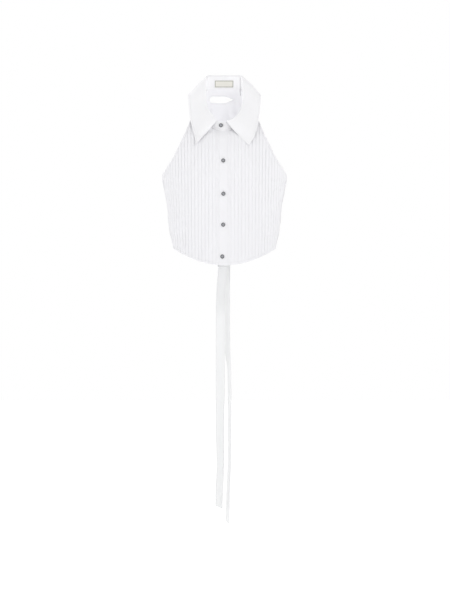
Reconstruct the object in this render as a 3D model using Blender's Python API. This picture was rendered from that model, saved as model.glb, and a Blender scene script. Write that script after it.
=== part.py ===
# A sleeveless pleated halter top with a shirt collar, buttoned front and long waist ties, filled out and
# hollow. Metres, +Z up. The front faces -Y. The origin is the middle of the neck ring, where the neck holds it.

import math
from collections import namedtuple

import bmesh
import bpy
import numpy as np

MM = 0.001

# Cloth and seams
WALL = 1.2 * MM
COLLAR_WALL = 1.4 * MM
SEAM_GAP = 0.3 * MM
LIE_GAP = 0.35 * MM
NECK_CLEAR = 1.2 * MM

# Body
NECK_RADIUS = 60 * MM
PANEL_NECK_RADIUS = 62.6 * MM
BUST_HEIGHT = -190 * MM
SIDE_HEM_HEIGHT = -392 * MM
SIDE_HEM_HALF_WIDTH = 142 * MM
FRONT_HEM_HEIGHT = -438 * MM
BACK_HEM_HEIGHT = -424 * MM
FRONT_ROWS = 12
BACK_ROWS_ABOVE = 13
BACK_ROW_CROWDING = 1.25
BACK_ROWS_BELOW = 6
BACK_COLUMNS = 26
BEYOND_HEM = 20 * MM
EDGE_SEARCH_STEPS = 26
ARC_STEPS = 121

# Pleats
PLEAT_PITCH = 10.1 * MM
PLEAT_RISE = 1.5 * MM
PLEAT_STEP = 0.9 * MM
FIRST_PLEAT = 6.0 * MM
LAST_PLEAT_CLEAR = 1.0 * MM
LAST_COLUMN_SHORT_OF_CORNER = 1.5 * MM

# Button placket
PLACKET_CENTRE = -3 * MM
PLACKET_HALF_WIDTH = 15 * MM
PLACKET_PROUD = 1.0 * MM
PLACKET_ROWS = 22
PLACKET_COLUMNS = 7

# Keyhole in the back, just under the collar: across and height of its outline, blunt on the left, pointed
# on the right. The cutter runs through the back panel between two depths.
KEYHOLE = (
    (-34, 36.8),
    (-38.5, 35.3),
    (-41.8, 31.6),
    (-43, 26.8),
    (-41.8, 22),
    (-38.5, 18.3),
    (-34, 16.8),
    (-3, 16.8),
    (13, 20.6),
    (25, 27.6),
    (11, 33),
    (-3, 36.8),
)
KEYHOLE_NEAR = 45 * MM
KEYHOLE_FAR = 110 * MM

# Collar
FALL_HALF_COLUMNS = 28
STAND_HALF_COLUMNS = 26
STAND_LEAN = 5.4 * MM
LAP_LIFT = 2.1 * MM
LAP_START = 136
LAP_RUN = 18
ROLL_RADIUS = 2.6 * MM
ROLL_TURNS = (0, 55, 110, 160)
FALL_ROWS = (0.14, 0.32, 0.54, 0.78, 1.0)
STAND_ROWS = (0.0, 0.5, 1.0)

# Label in the back of the neck
LABEL_CENTRE = -2 * MM
LABEL_WIDTH = 55 * MM
LABEL_LOW = 0.06
LABEL_HIGH = 0.64
LABEL_WALL = 1.0 * MM
LABEL_COLUMNS = 9

# Buttons
BUTTON_RADIUS = 5.7 * MM
BUTTON_THICK = 2.6 * MM
BUTTON_SIDES = 20
FACING_STEP = 2 * MM

# Waist ties
TIE_WALL = 1.2 * MM
TIE_WIDTH = 28 * MM
BAND_HEIGHT = -350 * MM
KNOT_HALF = (19 * MM, 13 * MM, 17 * MM)
KNOT_CENTRE = (0.0, 97.5 * MM, -352 * MM)
KNOT_AROUND = 20
KNOT_UP = 10
KNOT_RIDGE = 0.05
KNOT_FLATNESS = 0.62
KNOT_SQUARENESS = 0.8
BAND_ROWS = 18
BAND_STEP = 0.01
TAIL_ROWS_A_STATION = 3
TAIL_PLACES = (-1, -0.33, 0.33, 1)
TAIL_CUP = 0.8 * MM
TAIL_SLANT = 8 * MM

# Edges turned more than this many degrees are sharp.
SHARP_ANGLE = 40

# Base colour and roughness of each material
MATERIALS = {
    "white_cotton": ((0.90, 0.90, 0.91), 0.85),
    "tie_cotton": ((0.84, 0.85, 0.84), 0.85),
    "label_cloth": ((0.78, 0.75, 0.62), 0.7),
    "button_shell": ((0.16, 0.17, 0.18), 0.3),
}

# Figure sections from the neck down: half width, and depth in front of and behind the side line.
Section = namedtuple("Section", "height half_width front_depth")
FRONT_FORM = (
    Section(0, 175, 2),
    Section(-30, 175, 31),
    Section(-61, 175, 62),
    Section(-73, 175, 74),
    Section(-87, 175, 83.5),
    Section(-125, 175, 100),
    Section(-160, 175, 108),
    Section(-190, 175, 111),
    Section(-207, 170.5, 110),
    Section(-232, 167.5, 107),
    Section(-274, 159.5, 101),
    Section(-316, 156.5, 96),
    Section(-342, 152.5, 94),
    Section(-392, 142, 92),
    Section(-445, 134, 92),
)

BackSection = namedtuple("BackSection", "height half_width back_depth edge")
BACK_FORM = (
    BackSection(59, 60, 60, 42),
    BackSection(50, 60.5, 62, 50.5),
    BackSection(30, 64, 69, 55),
    BackSection(0, 76, 77, 60),
    BackSection(-10, 92, 80, 80),
    BackSection(-31, 108, 84, 95),
    BackSection(-64, 124, 89, 109),
    BackSection(-106, 143, 94, 129),
    BackSection(-140, 158, 96, 146),
    BackSection(-168, 169, 97, 164),
    BackSection(-190, 175, 97, 175),
    BackSection(-232, 167.5, 94, 167.5),
    BackSection(-274, 159.5, 89, 159.5),
    BackSection(-316, 156.5, 85, 156.5),
    BackSection(-342, 152.5, 82, 152.5),
    BackSection(-392, 142, 82, 142),
    BackSection(-445, 134, 84, 134),
)

# Armhole edge of the front, as seen from the front.
ArmholePoint = namedtuple("ArmholePoint", "height half_width")
ARMHOLE = (
    ArmholePoint(2, 62),
    ArmholePoint(-8, 80),
    ArmholePoint(-31, 95),
    ArmholePoint(-64, 109),
    ArmholePoint(-106, 129),
    ArmholePoint(-140, 146),
    ArmholePoint(-168, 164),
    ArmholePoint(-190, 175),
)

# Stations round the neck from centre back to centre front: the neck seam lies on the neck circle, the roll
# line is where the collar folds over, and the edge is the free edge of the fall, which ends in the collar's
# point. The bulge is how far the fall stands out of a straight line from roll to edge.
Station = namedtuple("Station", "angle seam_z roll_x roll_y roll_z edge_x edge_y edge_z bulge")
COLLAR_BACK = (
    Station(0, 59, 0, 62, 92, 0, 96, 46, 4),
    Station(27, 59, 28, 55.5, 92, 42, 89, 46, 4),
    Station(50, 58.5, 45, 40, 91.5, 78, 70, 44, 4),
    Station(66, 49, 50, 20, 83, 100, 36, 41, 4),
    Station(82, 19, 51, -6, 46, 102, 8, 34, 4),
    Station(95, -7, 50, -23, 18, 101, -12, 14, 4),
    Station(120, -31, 43, -45, -6, 96, -40, -31, 3),
    Station(150, -52, 27, -60, -28, 85, -73, -74, 0.5),
)
RIGHT_POINT = Station(175, -61, 5, -65, -37, 68, -88, -102, -2)
LEFT_POINT = Station(162, -58, 20, -62, -35, 80, -89, -97, -1)

# The stand runs on past the fall: its left end laps over its right end at the centre front and is buttoned
# there.
OVER_END = Station(184, -61, -4, -65, -37, 0, 0, 0, 0)
UNDER_END = Station(197, -58.5, -19, -61.5, -35.5, 0, 0, 0, 0)

# Buttons from the stand to the hem, by place across and height.
ButtonPlace = namedtuple("ButtonPlace", "name x z")
BUTTONS = (
    ButtonPlace("button_stand", -9.0, -46.5),
    ButtonPlace("button_1", -3.4, -145.6),
    ButtonPlace("button_2", -3.0, -237.7),
    ButtonPlace("button_3", -3.6, -324.2),
    ButtonPlace("button_4", -6.0, -413.3),
)

# Turned profile of a button: share of its radius and of its thickness, from the middle of its back.
ProfilePoint = namedtuple("ProfilePoint", "radius depth")
BUTTON_PROFILE = (
    ProfilePoint(0.86, 0.0),
    ProfilePoint(1.0, 0.35),
    ProfilePoint(0.95, 0.86),
    ProfilePoint(0.80, 1.0),
    ProfilePoint(0.62, 0.70),
)

# Tails of the ties below the knot: height, place across, place in depth, turn about the tail, share of width.
TailRow = namedtuple("TailRow", "height x y turn width")
LEFT_TAIL = (
    TailRow(-369.3, -5, 94, 8, 0.5),
    TailRow(-400, -4, 94, 10, 0.8),
    TailRow(-442, -4, 96, 18, 1.0),
    TailRow(-515, -10, 99, 27, 1.0),
    TailRow(-600, -11.5, 104, 24, 1.0),
    TailRow(-703, -11, 104, 27, 1.0),
    TailRow(-800, -11.5, 105, 30, 1.0),
    TailRow(-888, -12.5, 105, 36, 1.0),
    TailRow(-960, -11.5, 104, 42, 1.0),
    TailRow(-1002, -11, 104, 46, 1.0),
    TailRow(-1053, -13.5, 104, 44, 1.0),
    TailRow(-1116, -15, 104, 50, 1.0),
)
RIGHT_TAIL = (
    TailRow(-369.3, 5, 102, -8, 0.5),
    TailRow(-400, 5, 107, -20, 0.8),
    TailRow(-442, 4, 114, -36, 1.0),
    TailRow(-515, 5, 119, -46, 1.0),
    TailRow(-600, 7, 120, -50, 1.0),
    TailRow(-660, 9, 120, -57, 1.0),
    TailRow(-706, 12.4, 120, -66, 1.0),
    TailRow(-760, 13.8, 120, -70, 1.0),
    TailRow(-888, 13.6, 120, -73, 1.0),
    TailRow(-1002, 12.6, 121, -78, 1.0),
    TailRow(-1080, 9, 121, -74, 1.0),
    TailRow(-1160, 7.6, 121, -72, 1.0),
)

# Waist band of each tie from the side seam to the knot: angle from the side, lift off the back, half height
# and drop.
BandRow = namedtuple("BandRow", "angle lift half_height drop")
BAND = (
    BandRow(3, 0.35, 14, 0),
    BandRow(20, 0.35, 14, 0),
    BandRow(40, 0.5, 13.5, 0),
    BandRow(58, 1.0, 12.5, 1),
    BandRow(70, 4, 11, 1.5),
    BandRow(77, 9, 9, 2),
    BandRow(83.1, 14.6, 7.5, 2),
)


def clear_scene():
    for thing in list(bpy.data.objects):
        bpy.data.objects.remove(thing, do_unlink=True)


def make_material(name):
    colour, roughness = MATERIALS[name]
    made = bpy.data.materials.new(name)
    made.use_nodes = True
    shader = made.node_tree.nodes["Principled BSDF"]
    shader.inputs["Base Color"].default_value = (*colour, 1.0)
    shader.inputs["Roughness"].default_value = roughness
    made.diffuse_color = (*colour, 1.0)
    return made


def column(table, name):
    return np.array([getattr(row, name) for row in table], float)


def smooth(table, key, name, value):
    """A monotone curve through one column of a table, read at a value of its key column."""
    places = column(table, key)
    levels = column(table, name)
    if places[0] > places[-1]:
        places = places[::-1]
        levels = levels[::-1]
    steps = np.diff(levels) / np.diff(places)
    slopes = np.empty_like(levels)
    slopes[0] = steps[0]
    slopes[-1] = steps[-1]
    same = steps[:-1] * steps[1:] > 0
    joined = np.where(same, steps[:-1] + steps[1:], 1.0)
    slopes[1:-1] = np.where(same, 2 * steps[:-1] * steps[1:] / joined, 0.0)
    where = np.clip(np.searchsorted(places, value) - 1, 0, len(steps) - 1)
    gap = places[where + 1] - places[where]
    t = np.clip((value - places[where]) / gap, 0, 1)
    return (
        (2 * t**3 - 3 * t**2 + 1) * levels[where]
        + (t**3 - 2 * t**2 + t) * gap * slopes[where]
        + (3 * t**2 - 2 * t**3) * levels[where + 1]
        + (t**3 - t**2) * gap * slopes[where + 1]
    )


def at_height(table, name, z):
    return smooth(table, "height", name, z / MM) * MM


def through(points, count):
    """Evenly numbered points on a smooth curve through the given ones."""
    points = np.asarray(points, float)
    padded = np.vstack([2 * points[0] - points[1], points, 2 * points[-1] - points[-2]])
    made = []
    for place in np.linspace(0, len(points) - 1, count):
        i = min(int(place), len(points) - 2)
        t = place - i
        a, b, c, d = padded[i : i + 4]
        made.append(
            0.5 * (2 * b + (c - a) * t + (2 * a - 5 * b + 4 * c - d) * t**2 + (3 * b - a - 3 * c + d) * t**3)
        )
    return np.array(made)


def normals_of(grid):
    """Unit normals of a grid of points, to the right-hand side of rows by columns."""
    down = np.gradient(grid, axis=0)
    across = np.gradient(grid, axis=1)
    made = np.cross(across, down)
    return made / np.linalg.norm(made, axis=2, keepdims=True)


def add_object(name, mesh_points, faces, material):
    mesh = bpy.data.meshes.new(name)
    mesh.from_pydata([tuple(p) for p in mesh_points], [], faces)
    mesh.materials.append(material)
    shaped = bmesh.new()
    shaped.from_mesh(mesh)
    bmesh.ops.recalc_face_normals(shaped, faces=shaped.faces)
    bmesh.ops.triangulate(shaped, faces=shaped.faces)
    shaped.to_mesh(mesh)
    shaped.free()
    mesh.shade_smooth()
    mesh.set_sharp_from_angle(angle=math.radians(SHARP_ANGLE))
    thing = bpy.data.objects.new(name, mesh)
    bpy.context.scene.collection.objects.link(thing)
    return thing


def wall(name, outer, inner, material):
    """A closed wall between two grids of points with the same rows and columns."""
    rows, columns = outer.shape[:2]
    size = rows * columns
    points = np.vstack([outer.reshape(-1, 3), inner.reshape(-1, 3)])
    faces = []
    for r in range(rows - 1):
        for c in range(columns - 1):
            a = r * columns + c
            quad = (a, a + 1, a + columns + 1, a + columns)
            faces.append(quad)
            faces.append(tuple(size + i for i in reversed(quad)))
    rim = [c for c in range(columns)]
    rim += [r * columns + columns - 1 for r in range(1, rows)]
    rim += [(rows - 1) * columns + c for c in range(columns - 2, -1, -1)]
    rim += [r * columns for r in range(rows - 2, 0, -1)]
    for here, after in zip(rim, rim[1:] + rim[:1]):
        faces.append((here, size + here, size + after, after))
    return add_object(name, points, faces, material)


# Front

def front_angle(s, z):
    """Angle round the front section at a height, for a length of cloth from the centre line."""
    angles = np.linspace(0, math.pi / 2, ARC_STEPS)
    x = at_height(FRONT_FORM, "half_width", z) * np.sin(angles)
    y = at_height(FRONT_FORM, "front_depth", z) * np.cos(angles)
    lengths = np.concatenate([[0], np.cumsum(np.hypot(np.diff(x), np.diff(y)))])
    return float(np.interp(s, lengths, angles)), lengths[-1]


def front_point(side, s, z):
    angle, _ = front_angle(s, z)
    x = at_height(FRONT_FORM, "half_width", z) * math.sin(angle)
    y = -at_height(FRONT_FORM, "front_depth", z) * math.cos(angle)
    return np.array([side * x, y, z])


def neck_seam_height(x):
    """Height of the neck seam over the front, at a place across."""
    angle = 180 - math.degrees(math.asin(min(abs(x) / PANEL_NECK_RADIUS, 1)))
    return smooth(COLLAR_BACK + (RIGHT_POINT,), "angle", "seam_z", angle) * MM


def hem_height(x, centre):
    return centre + (SIDE_HEM_HEIGHT - centre) * (x / SIDE_HEM_HALF_WIDTH) ** 2


def edge_between(inside, outside, test):
    """The height where a column of cloth leaves the cut piece."""
    for _ in range(EDGE_SEARCH_STEPS):
        middle = (inside + outside) / 2
        if test(middle):
            inside = middle
        else:
            outside = middle
    return inside


def column_ends(s):
    """Top and bottom heights of the front's cloth at a length from the centre line."""

    def below_top(z):
        x = front_point(1, s, z)[0]
        if x > at_height(ARMHOLE, "half_width", z):
            return False
        return x > PANEL_NECK_RADIUS or z <= neck_seam_height(x) - NECK_CLEAR

    def above_bottom(z):
        x = front_point(1, s, z)[0]
        return s <= front_angle(s, z)[1] and z >= hem_height(x, FRONT_HEM_HEIGHT)

    top = edge_between(BUST_HEIGHT, 0.0, below_top)
    return top, edge_between(BUST_HEIGHT, FRONT_HEM_HEIGHT - BEYOND_HEM, above_bottom)


def front_grid(side, lengths, rows):
    """Points of the plain front, with a column for each length from the centre line."""
    grid = np.empty((rows, len(lengths), 3))
    for c, s in enumerate(lengths):
        top, bottom = column_ends(abs(s))
        for r, share in enumerate(np.linspace(0, 1, rows)):
            z = top + (bottom - top) * share
            grid[r, c] = front_point(side if s >= 0 else -side, abs(s), z)
    return grid


def pleat_columns(start, end):
    """Lengths from the centre line of the pleats' columns, and how far each column is raised."""
    lengths = [start]
    rises = [0.0]
    place = start + FIRST_PLEAT
    while place + PLEAT_STEP < end - LAST_PLEAT_CLEAR:
        lengths += [place, place + PLEAT_STEP]
        rises += [0.0, PLEAT_RISE]
        place += PLEAT_PITCH
    lengths.append(end)
    rises.append(0.0)
    return lengths, np.array(rises)


def build_front(name, side, cloth):
    start = abs(side * PLACKET_HALF_WIDTH + PLACKET_CENTRE) + SEAM_GAP
    full = front_angle(0, BUST_HEIGHT)[1]
    lengths, rises = pleat_columns(start, full - LAST_COLUMN_SHORT_OF_CORNER)
    plain = front_grid(side, lengths, FRONT_ROWS)
    out = normals_of(plain) * side
    out = np.where(out[..., 1:2] > 0, -out, out)
    outer = plain + out * rises[None, :, None]
    inner = plain - out * WALL
    for grid in (outer, inner):
        grid[..., 1] = np.minimum(grid[..., 1], -SEAM_GAP / 2)
    return wall(name, outer, inner, cloth)


def build_placket(cloth):
    across = PLACKET_CENTRE + PLACKET_HALF_WIDTH * np.linspace(-1, 1, PLACKET_COLUMNS)
    plain = front_grid(1, across, PLACKET_ROWS)
    out = normals_of(plain)
    out = np.where(out[..., 1:2] > 0, -out, out)
    return wall("button_placket", plain + out * PLACKET_PROUD, plain - out * WALL, cloth)


# Back

def back_point(angle, z):
    x = at_height(BACK_FORM, "half_width", z) * math.sin(angle)
    y = at_height(BACK_FORM, "back_depth", z) * math.cos(angle)
    return np.array([x, y, z])


def back_row_heights():
    """Heights of the back's rows from the neck seam to the bust line, closer together near the neck."""
    top = COLLAR_BACK[0].seam_z * MM - NECK_CLEAR
    return top + (BUST_HEIGHT - top) * np.linspace(0, 1, BACK_ROWS_ABOVE) ** BACK_ROW_CROWDING


def back_grid():
    rows = []
    for z in back_row_heights():
        width = at_height(BACK_FORM, "half_width", z)
        most = math.asin(min(at_height(BACK_FORM, "edge", z) / width, 1))
        rows.append([back_point(a, z) for a in np.linspace(-most, most, BACK_COLUMNS)])
    for share in np.linspace(0, 1, BACK_ROWS_BELOW + 1)[1:]:
        line = []
        for angle in np.linspace(-math.pi / 2, math.pi / 2, BACK_COLUMNS):
            hem = hem_height(SIDE_HEM_HALF_WIDTH * math.sin(angle), BACK_HEM_HEIGHT)
            line.append(back_point(angle, BUST_HEIGHT + (hem - BUST_HEIGHT) * share))
        rows.append(line)
    return np.array(rows)


def keyhole_cutter():
    """A long drop lying across the back, round at one end and drawn to a point at the other."""
    count = len(KEYHOLE)
    points = [(x * MM, depth, z * MM) for depth in (KEYHOLE_NEAR, KEYHOLE_FAR) for x, z in KEYHOLE]
    faces = [tuple(range(count)), tuple(reversed(range(count, 2 * count)))]
    for i in range(count):
        after = (i + 1) % count
        faces.append((i, i + count, after + count, after))
    cutter = add_object("keyhole_cutter", points, faces, bpy.data.materials["white_cotton"])
    cutter.hide_render = True
    cutter.display_type = "WIRE"
    return cutter


def build_back(cloth):
    plain = back_grid()
    out = normals_of(plain)
    out = np.where(out[..., 1:2] < 0, -out, out)
    outer = plain.copy()
    inner = plain - out * WALL
    for grid in (outer, inner):
        grid[..., 1] = np.maximum(grid[..., 1], SEAM_GAP / 2)
    panel = wall("back_panel", outer, inner, cloth)
    cut = panel.modifiers.new("keyhole", "BOOLEAN")
    cut.operation = "DIFFERENCE"
    cut.object = keyhole_cutter()
    return panel


# Collar

def neck_lines(left_side, ends, count):
    """Seam, roll line, free edge and bulge of one half, from centre back to its front end."""
    rows = COLLAR_BACK + ends
    angles = through([[row.angle] for row in rows], count)[:, 0]
    turned = np.minimum(angles, 360 - angles)
    height = smooth(COLLAR_BACK + (RIGHT_POINT,), "angle", "seam_z", turned) * MM
    radians = np.radians(angles)
    seam = np.array([NECK_RADIUS * np.sin(radians), NECK_RADIUS * np.cos(radians), height]).T
    roll = through([[row.roll_x, row.roll_y, row.roll_z] for row in rows], count) * MM
    edge = through([[row.edge_x, row.edge_y, row.edge_z] for row in rows], count) * MM
    bulge = through([[row.bulge] for row in rows], count) * MM
    if left_side:
        lapped = np.clip((angles - LAP_START) / LAP_RUN, 0, 1)
        lift = LAP_LIFT * lapped**2 * (3 - 2 * lapped)
        seam = seam + outward(seam) * lift[:, None]
        roll = roll + outward(roll) * lift[:, None]
        for line in (seam, roll, edge):
            line[:, 0] *= -1
    return seam, roll, edge, bulge


def round_the_neck(left_ends, right_ends, count):
    """The same lines from the left half's front end, round the back, to the right half's front end."""
    left = neck_lines(True, left_ends, count)
    right = neck_lines(False, right_ends, count)
    return [np.vstack([a[::-1], b[1:]]) for a, b in zip(left, right)]


def outward(points):
    """Level directions away from the neck's middle line."""
    flat = points * np.array([1, 1, 0])
    return flat / np.linalg.norm(flat, axis=1, keepdims=True)


def stand_grid():
    """Inner face of the collar stand, a band from the neck seam to the roll line."""
    seam, roll, _, _ = round_the_neck((LEFT_POINT, OVER_END), (RIGHT_POINT, UNDER_END), STAND_HALF_COLUMNS)
    rows = []
    for share in STAND_ROWS:
        line = seam + (roll - seam) * share
        line[:, 2] += SEAM_GAP
        rows.append(line)
    return np.array(rows)


def build_stand(cloth):
    inner = stand_grid()
    away = np.array([outward(row) for row in inner])
    return wall("collar_stand", inner + away * COLLAR_WALL, inner, cloth)


def build_fall(cloth):
    """The fall turns over a small roll on the stand's upper edge and runs down and out to its free edge."""
    seam, roll, edge, bulge = round_the_neck((LEFT_POINT,), (RIGHT_POINT,), FALL_HALF_COLUMNS)
    up = roll - seam
    up /= np.linalg.norm(up, axis=1, keepdims=True)
    away = outward(roll)
    start = roll + up * (2 * SEAM_GAP)
    rows = []
    for turn in np.radians(ROLL_TURNS):
        rows.append(start + away * ROLL_RADIUS * (1 - math.cos(turn)) + up * ROLL_RADIUS * math.sin(turn))
    over = start + away * 2 * ROLL_RADIUS
    span = edge - over
    face = np.cross(span, np.gradient(roll, axis=0))
    face /= np.linalg.norm(face, axis=1, keepdims=True)
    face = np.where(face[:, 2:3] < 0, -face, face)
    for share in FALL_ROWS:
        rows.append(over + span * share + face * bulge * math.sin(math.pi * share))
    outer = np.array(rows)
    out = normals_of(outer)
    if out[len(rows) // 2, FALL_HALF_COLUMNS, 1] < 0:
        out = -out
    out[0] = -away
    return wall("collar_fall", outer, outer - out * COLLAR_WALL, cloth)


def build_label(cloth):
    """A bare label on the inside of the stand, made from the stand's points and moved in."""
    inner = stand_grid()
    picked = LABEL_CENTRE + LABEL_WIDTH / 2 * np.linspace(-1, 1, LABEL_COLUMNS)
    back = slice(STAND_HALF_COLUMNS // 2, 3 * STAND_HALF_COLUMNS // 2)
    rows = []
    for share in (LABEL_LOW, LABEL_HIGH):
        line = inner[0] + (inner[-1] - inner[0]) * share
        rows.append(np.array([np.interp(picked, line[back, 0], line[back, i]) for i in range(3)]).T)
    plain = np.array(rows)
    away = np.array([outward(row) for row in plain])
    return wall("neck_label", plain - away * LIE_GAP, plain - away * (LIE_GAP + LABEL_WALL), cloth)


# Buttons

def placket_face(x, z):
    """A point on the placket's outer face and the direction that it faces."""
    here = front_point(1 if x >= 0 else -1, abs(x), z)
    above = front_point(1 if x >= 0 else -1, abs(x), z + FACING_STEP)
    right = x + FACING_STEP
    beside = front_point(1 if right >= 0 else -1, abs(right), z)
    out = np.cross(beside - here, above - here)
    out /= np.linalg.norm(out)
    if out[1] > 0:
        out = -out
    return here + out * PLACKET_PROUD, out


def stand_face(x, z):
    """A point on the outer face of the stand at the centre front."""
    away = np.array([x, -NECK_RADIUS, 0.0])
    away /= np.linalg.norm(away)
    share = (z - RIGHT_POINT.seam_z * MM) / ((RIGHT_POINT.roll_z - RIGHT_POINT.seam_z) * MM)
    radius = NECK_RADIUS + LAP_LIFT + STAND_LEAN * share + COLLAR_WALL
    return away * radius + np.array([0, 0, z]), away


def build_button(place, material):
    x, z = place.x * MM, place.z * MM
    base, out = stand_face(x, z) if place.name == "button_stand" else placket_face(x, z)
    base = base + out * LIE_GAP
    side = np.cross(out, [0, 0, 1.0])
    side /= np.linalg.norm(side)
    up = np.cross(side, out)
    points = [base]
    for ring in BUTTON_PROFILE:
        for k in range(BUTTON_SIDES):
            turn = 2 * math.pi * k / BUTTON_SIDES
            spoke = side * math.cos(turn) + up * math.sin(turn)
            points.append(base + spoke * ring.radius * BUTTON_RADIUS + out * ring.depth * BUTTON_THICK)
    points.append(base + out * BUTTON_PROFILE[-1].depth * BUTTON_THICK)
    faces = []
    for k in range(BUTTON_SIDES):
        after = (k + 1) % BUTTON_SIDES
        faces.append((0, 1 + after, 1 + k))
        for ring in range(len(BUTTON_PROFILE) - 1):
            low = 1 + ring * BUTTON_SIDES
            high = low + BUTTON_SIDES
            faces.append((low + k, low + after, high + after, high + k))
        last = 1 + (len(BUTTON_PROFILE) - 1) * BUTTON_SIDES
        faces.append((last + k, last + after, len(points) - 1))
    return add_object(place.name, points, faces, material)


# Waist ties

def build_band(name, side, cloth):
    """The stretch of a tie from the side seam to the knot, made from the back panel's points and moved out."""
    outer, inner = [], []
    for angle, lift, half, drop in through(BAND, BAND_ROWS):
        middle = math.pi / 2 - math.radians(angle)
        lines = ([], [])
        for share in (-1, 0, 1):
            z = BAND_HEIGHT - drop * MM + share * half * MM
            here = back_point(middle, z)
            near = back_point(middle + BAND_STEP, z)
            along = near - here
            out = np.cross(along, [0, 0, 1.0])
            out /= np.linalg.norm(out)
            if out[1] < 0:
                out = -out
            base = here + out * lift * MM
            base[0] *= side
            facing = out * np.array([side, 1, 1])
            lines[0].append(base + facing * TIE_WALL)
            lines[1].append(base)
        outer.append(lines[0])
        inner.append(lines[1])
    return wall(name, np.array(outer), np.array(inner), cloth)


def build_tail(name, table, cloth):
    """A flat tie hanging from the knot, turning a little as it falls, with a slanted end."""
    front, back = [], []
    for height, x, y, turn, share in through(table, TAIL_ROWS_A_STATION * len(table)):
        angle = math.radians(turn)
        across = np.array([math.cos(angle), math.sin(angle), 0.0])
        facing = np.array([-math.sin(angle), math.cos(angle), 0.0])
        centre = np.array([x, y, height]) * MM
        lines = ([], [])
        for place in TAIL_PLACES:
            cup = TAIL_CUP * (1 - place**2)
            point = centre + across * place * share * TIE_WIDTH / 2 + facing * cup
            lines[0].append(point + facing * TIE_WALL)
            lines[1].append(point)
        back.append(lines[0])
        front.append(lines[1])
    front, back = np.array(front), np.array(back)
    for grid in (front, back):
        grid[-1, :, 2] -= TAIL_SLANT / 2 * np.array(TAIL_PLACES)
    return wall(name, back, front, cloth)


def squared(value):
    """Moves a sine or cosine outwards, so that a ball grows squarish."""
    return math.copysign(abs(value) ** KNOT_SQUARENESS, value)


def build_knot(cloth):
    """The tied knot at the centre back: a squarish lump with the turns of cloth showing as ridges."""
    centre = np.array(KNOT_CENTRE)
    half = np.array(KNOT_HALF)
    points = [centre + half * np.array([0, 0, -1])]
    for k in range(1, KNOT_UP):
        rise = -math.pi / 2 + math.pi * k / KNOT_UP
        for j in range(KNOT_AROUND):
            turn = 2 * math.pi * j / KNOT_AROUND
            ridge = 1 + KNOT_RIDGE * math.cos(4 * rise + turn)
            flat = abs(math.cos(rise)) ** KNOT_FLATNESS
            level = flat * squared(math.cos(turn)), flat * squared(math.sin(turn))
            spot = np.array([*level, squared(math.sin(rise))])
            points.append(centre + half * spot * np.array([1, ridge, 1]))
    points.append(centre + half * np.array([0, 0, 1]))
    faces = []
    for j in range(KNOT_AROUND):
        after = (j + 1) % KNOT_AROUND
        faces.append((0, 1 + after, 1 + j))
        for k in range(KNOT_UP - 2):
            low = 1 + k * KNOT_AROUND
            high = low + KNOT_AROUND
            faces.append((low + j, low + after, high + after, high + j))
        last = 1 + (KNOT_UP - 2) * KNOT_AROUND
        faces.append((last + j, last + after, len(points) - 1))
    return add_object("tie_knot", points, faces, cloth)


def main():
    clear_scene()
    cotton = make_material("white_cotton")
    tie_cotton = make_material("tie_cotton")
    label_cloth = make_material("label_cloth")
    shell = make_material("button_shell")
    build_front("front_left", -1, cotton)
    build_front("front_right", 1, cotton)
    build_placket(cotton)
    build_back(cotton)
    build_stand(cotton)
    build_fall(cotton)
    build_label(label_cloth)
    for place in BUTTONS:
        build_button(place, shell)
    build_band("waist_tie_left", -1, tie_cotton)
    build_band("waist_tie_right", 1, tie_cotton)
    build_knot(tie_cotton)
    build_tail("tie_tail_left", LEFT_TAIL, tie_cotton)
    build_tail("tie_tail_right", RIGHT_TAIL, tie_cotton)


main()
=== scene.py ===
import math

import bmesh
import bpy
import numpy as np
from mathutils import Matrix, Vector, noise


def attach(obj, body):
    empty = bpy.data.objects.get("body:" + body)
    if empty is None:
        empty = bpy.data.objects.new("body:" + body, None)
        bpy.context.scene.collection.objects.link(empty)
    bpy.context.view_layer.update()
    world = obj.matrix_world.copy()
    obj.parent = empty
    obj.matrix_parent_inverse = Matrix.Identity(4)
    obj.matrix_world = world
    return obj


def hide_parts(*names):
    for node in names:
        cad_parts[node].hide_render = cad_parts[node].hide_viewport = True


# Looks of a sleeveless pleated halter top in white cotton, filled out and hollow.
# Metres, +Z up, front towards -Y, origin in the middle of the neck ring.
# Left and right are the viewer's.

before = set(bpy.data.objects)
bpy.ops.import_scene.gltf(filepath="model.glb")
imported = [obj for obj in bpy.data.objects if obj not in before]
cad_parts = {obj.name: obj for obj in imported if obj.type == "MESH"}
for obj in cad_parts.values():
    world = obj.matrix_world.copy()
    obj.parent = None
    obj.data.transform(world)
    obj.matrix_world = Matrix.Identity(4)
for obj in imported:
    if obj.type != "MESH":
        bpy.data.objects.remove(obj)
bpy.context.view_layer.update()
mm = 0.001

cloth = {
    "wall": 1.2 * mm,
    "collarWall": 1.4 * mm,
    "seamGap": 0.3 * mm,
    "neckClear": 1.2 * mm,
    "neckRadius": 60 * mm,
    "panelNeckRadius": 62.6 * mm,
}

bodice = {
    "bustHeight": -190 * mm,
    "sideHemHeight": -392 * mm,
    "sideHemHalfWidth": 142 * mm,
    "frontHemHeight": -438 * mm,
    "backHemHeight": -424 * mm,
    "frontRows": 118,
    "backRowsAbove": 70,
    "backRowsBelow": 52,
    "backColumns": 130,
}

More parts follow.
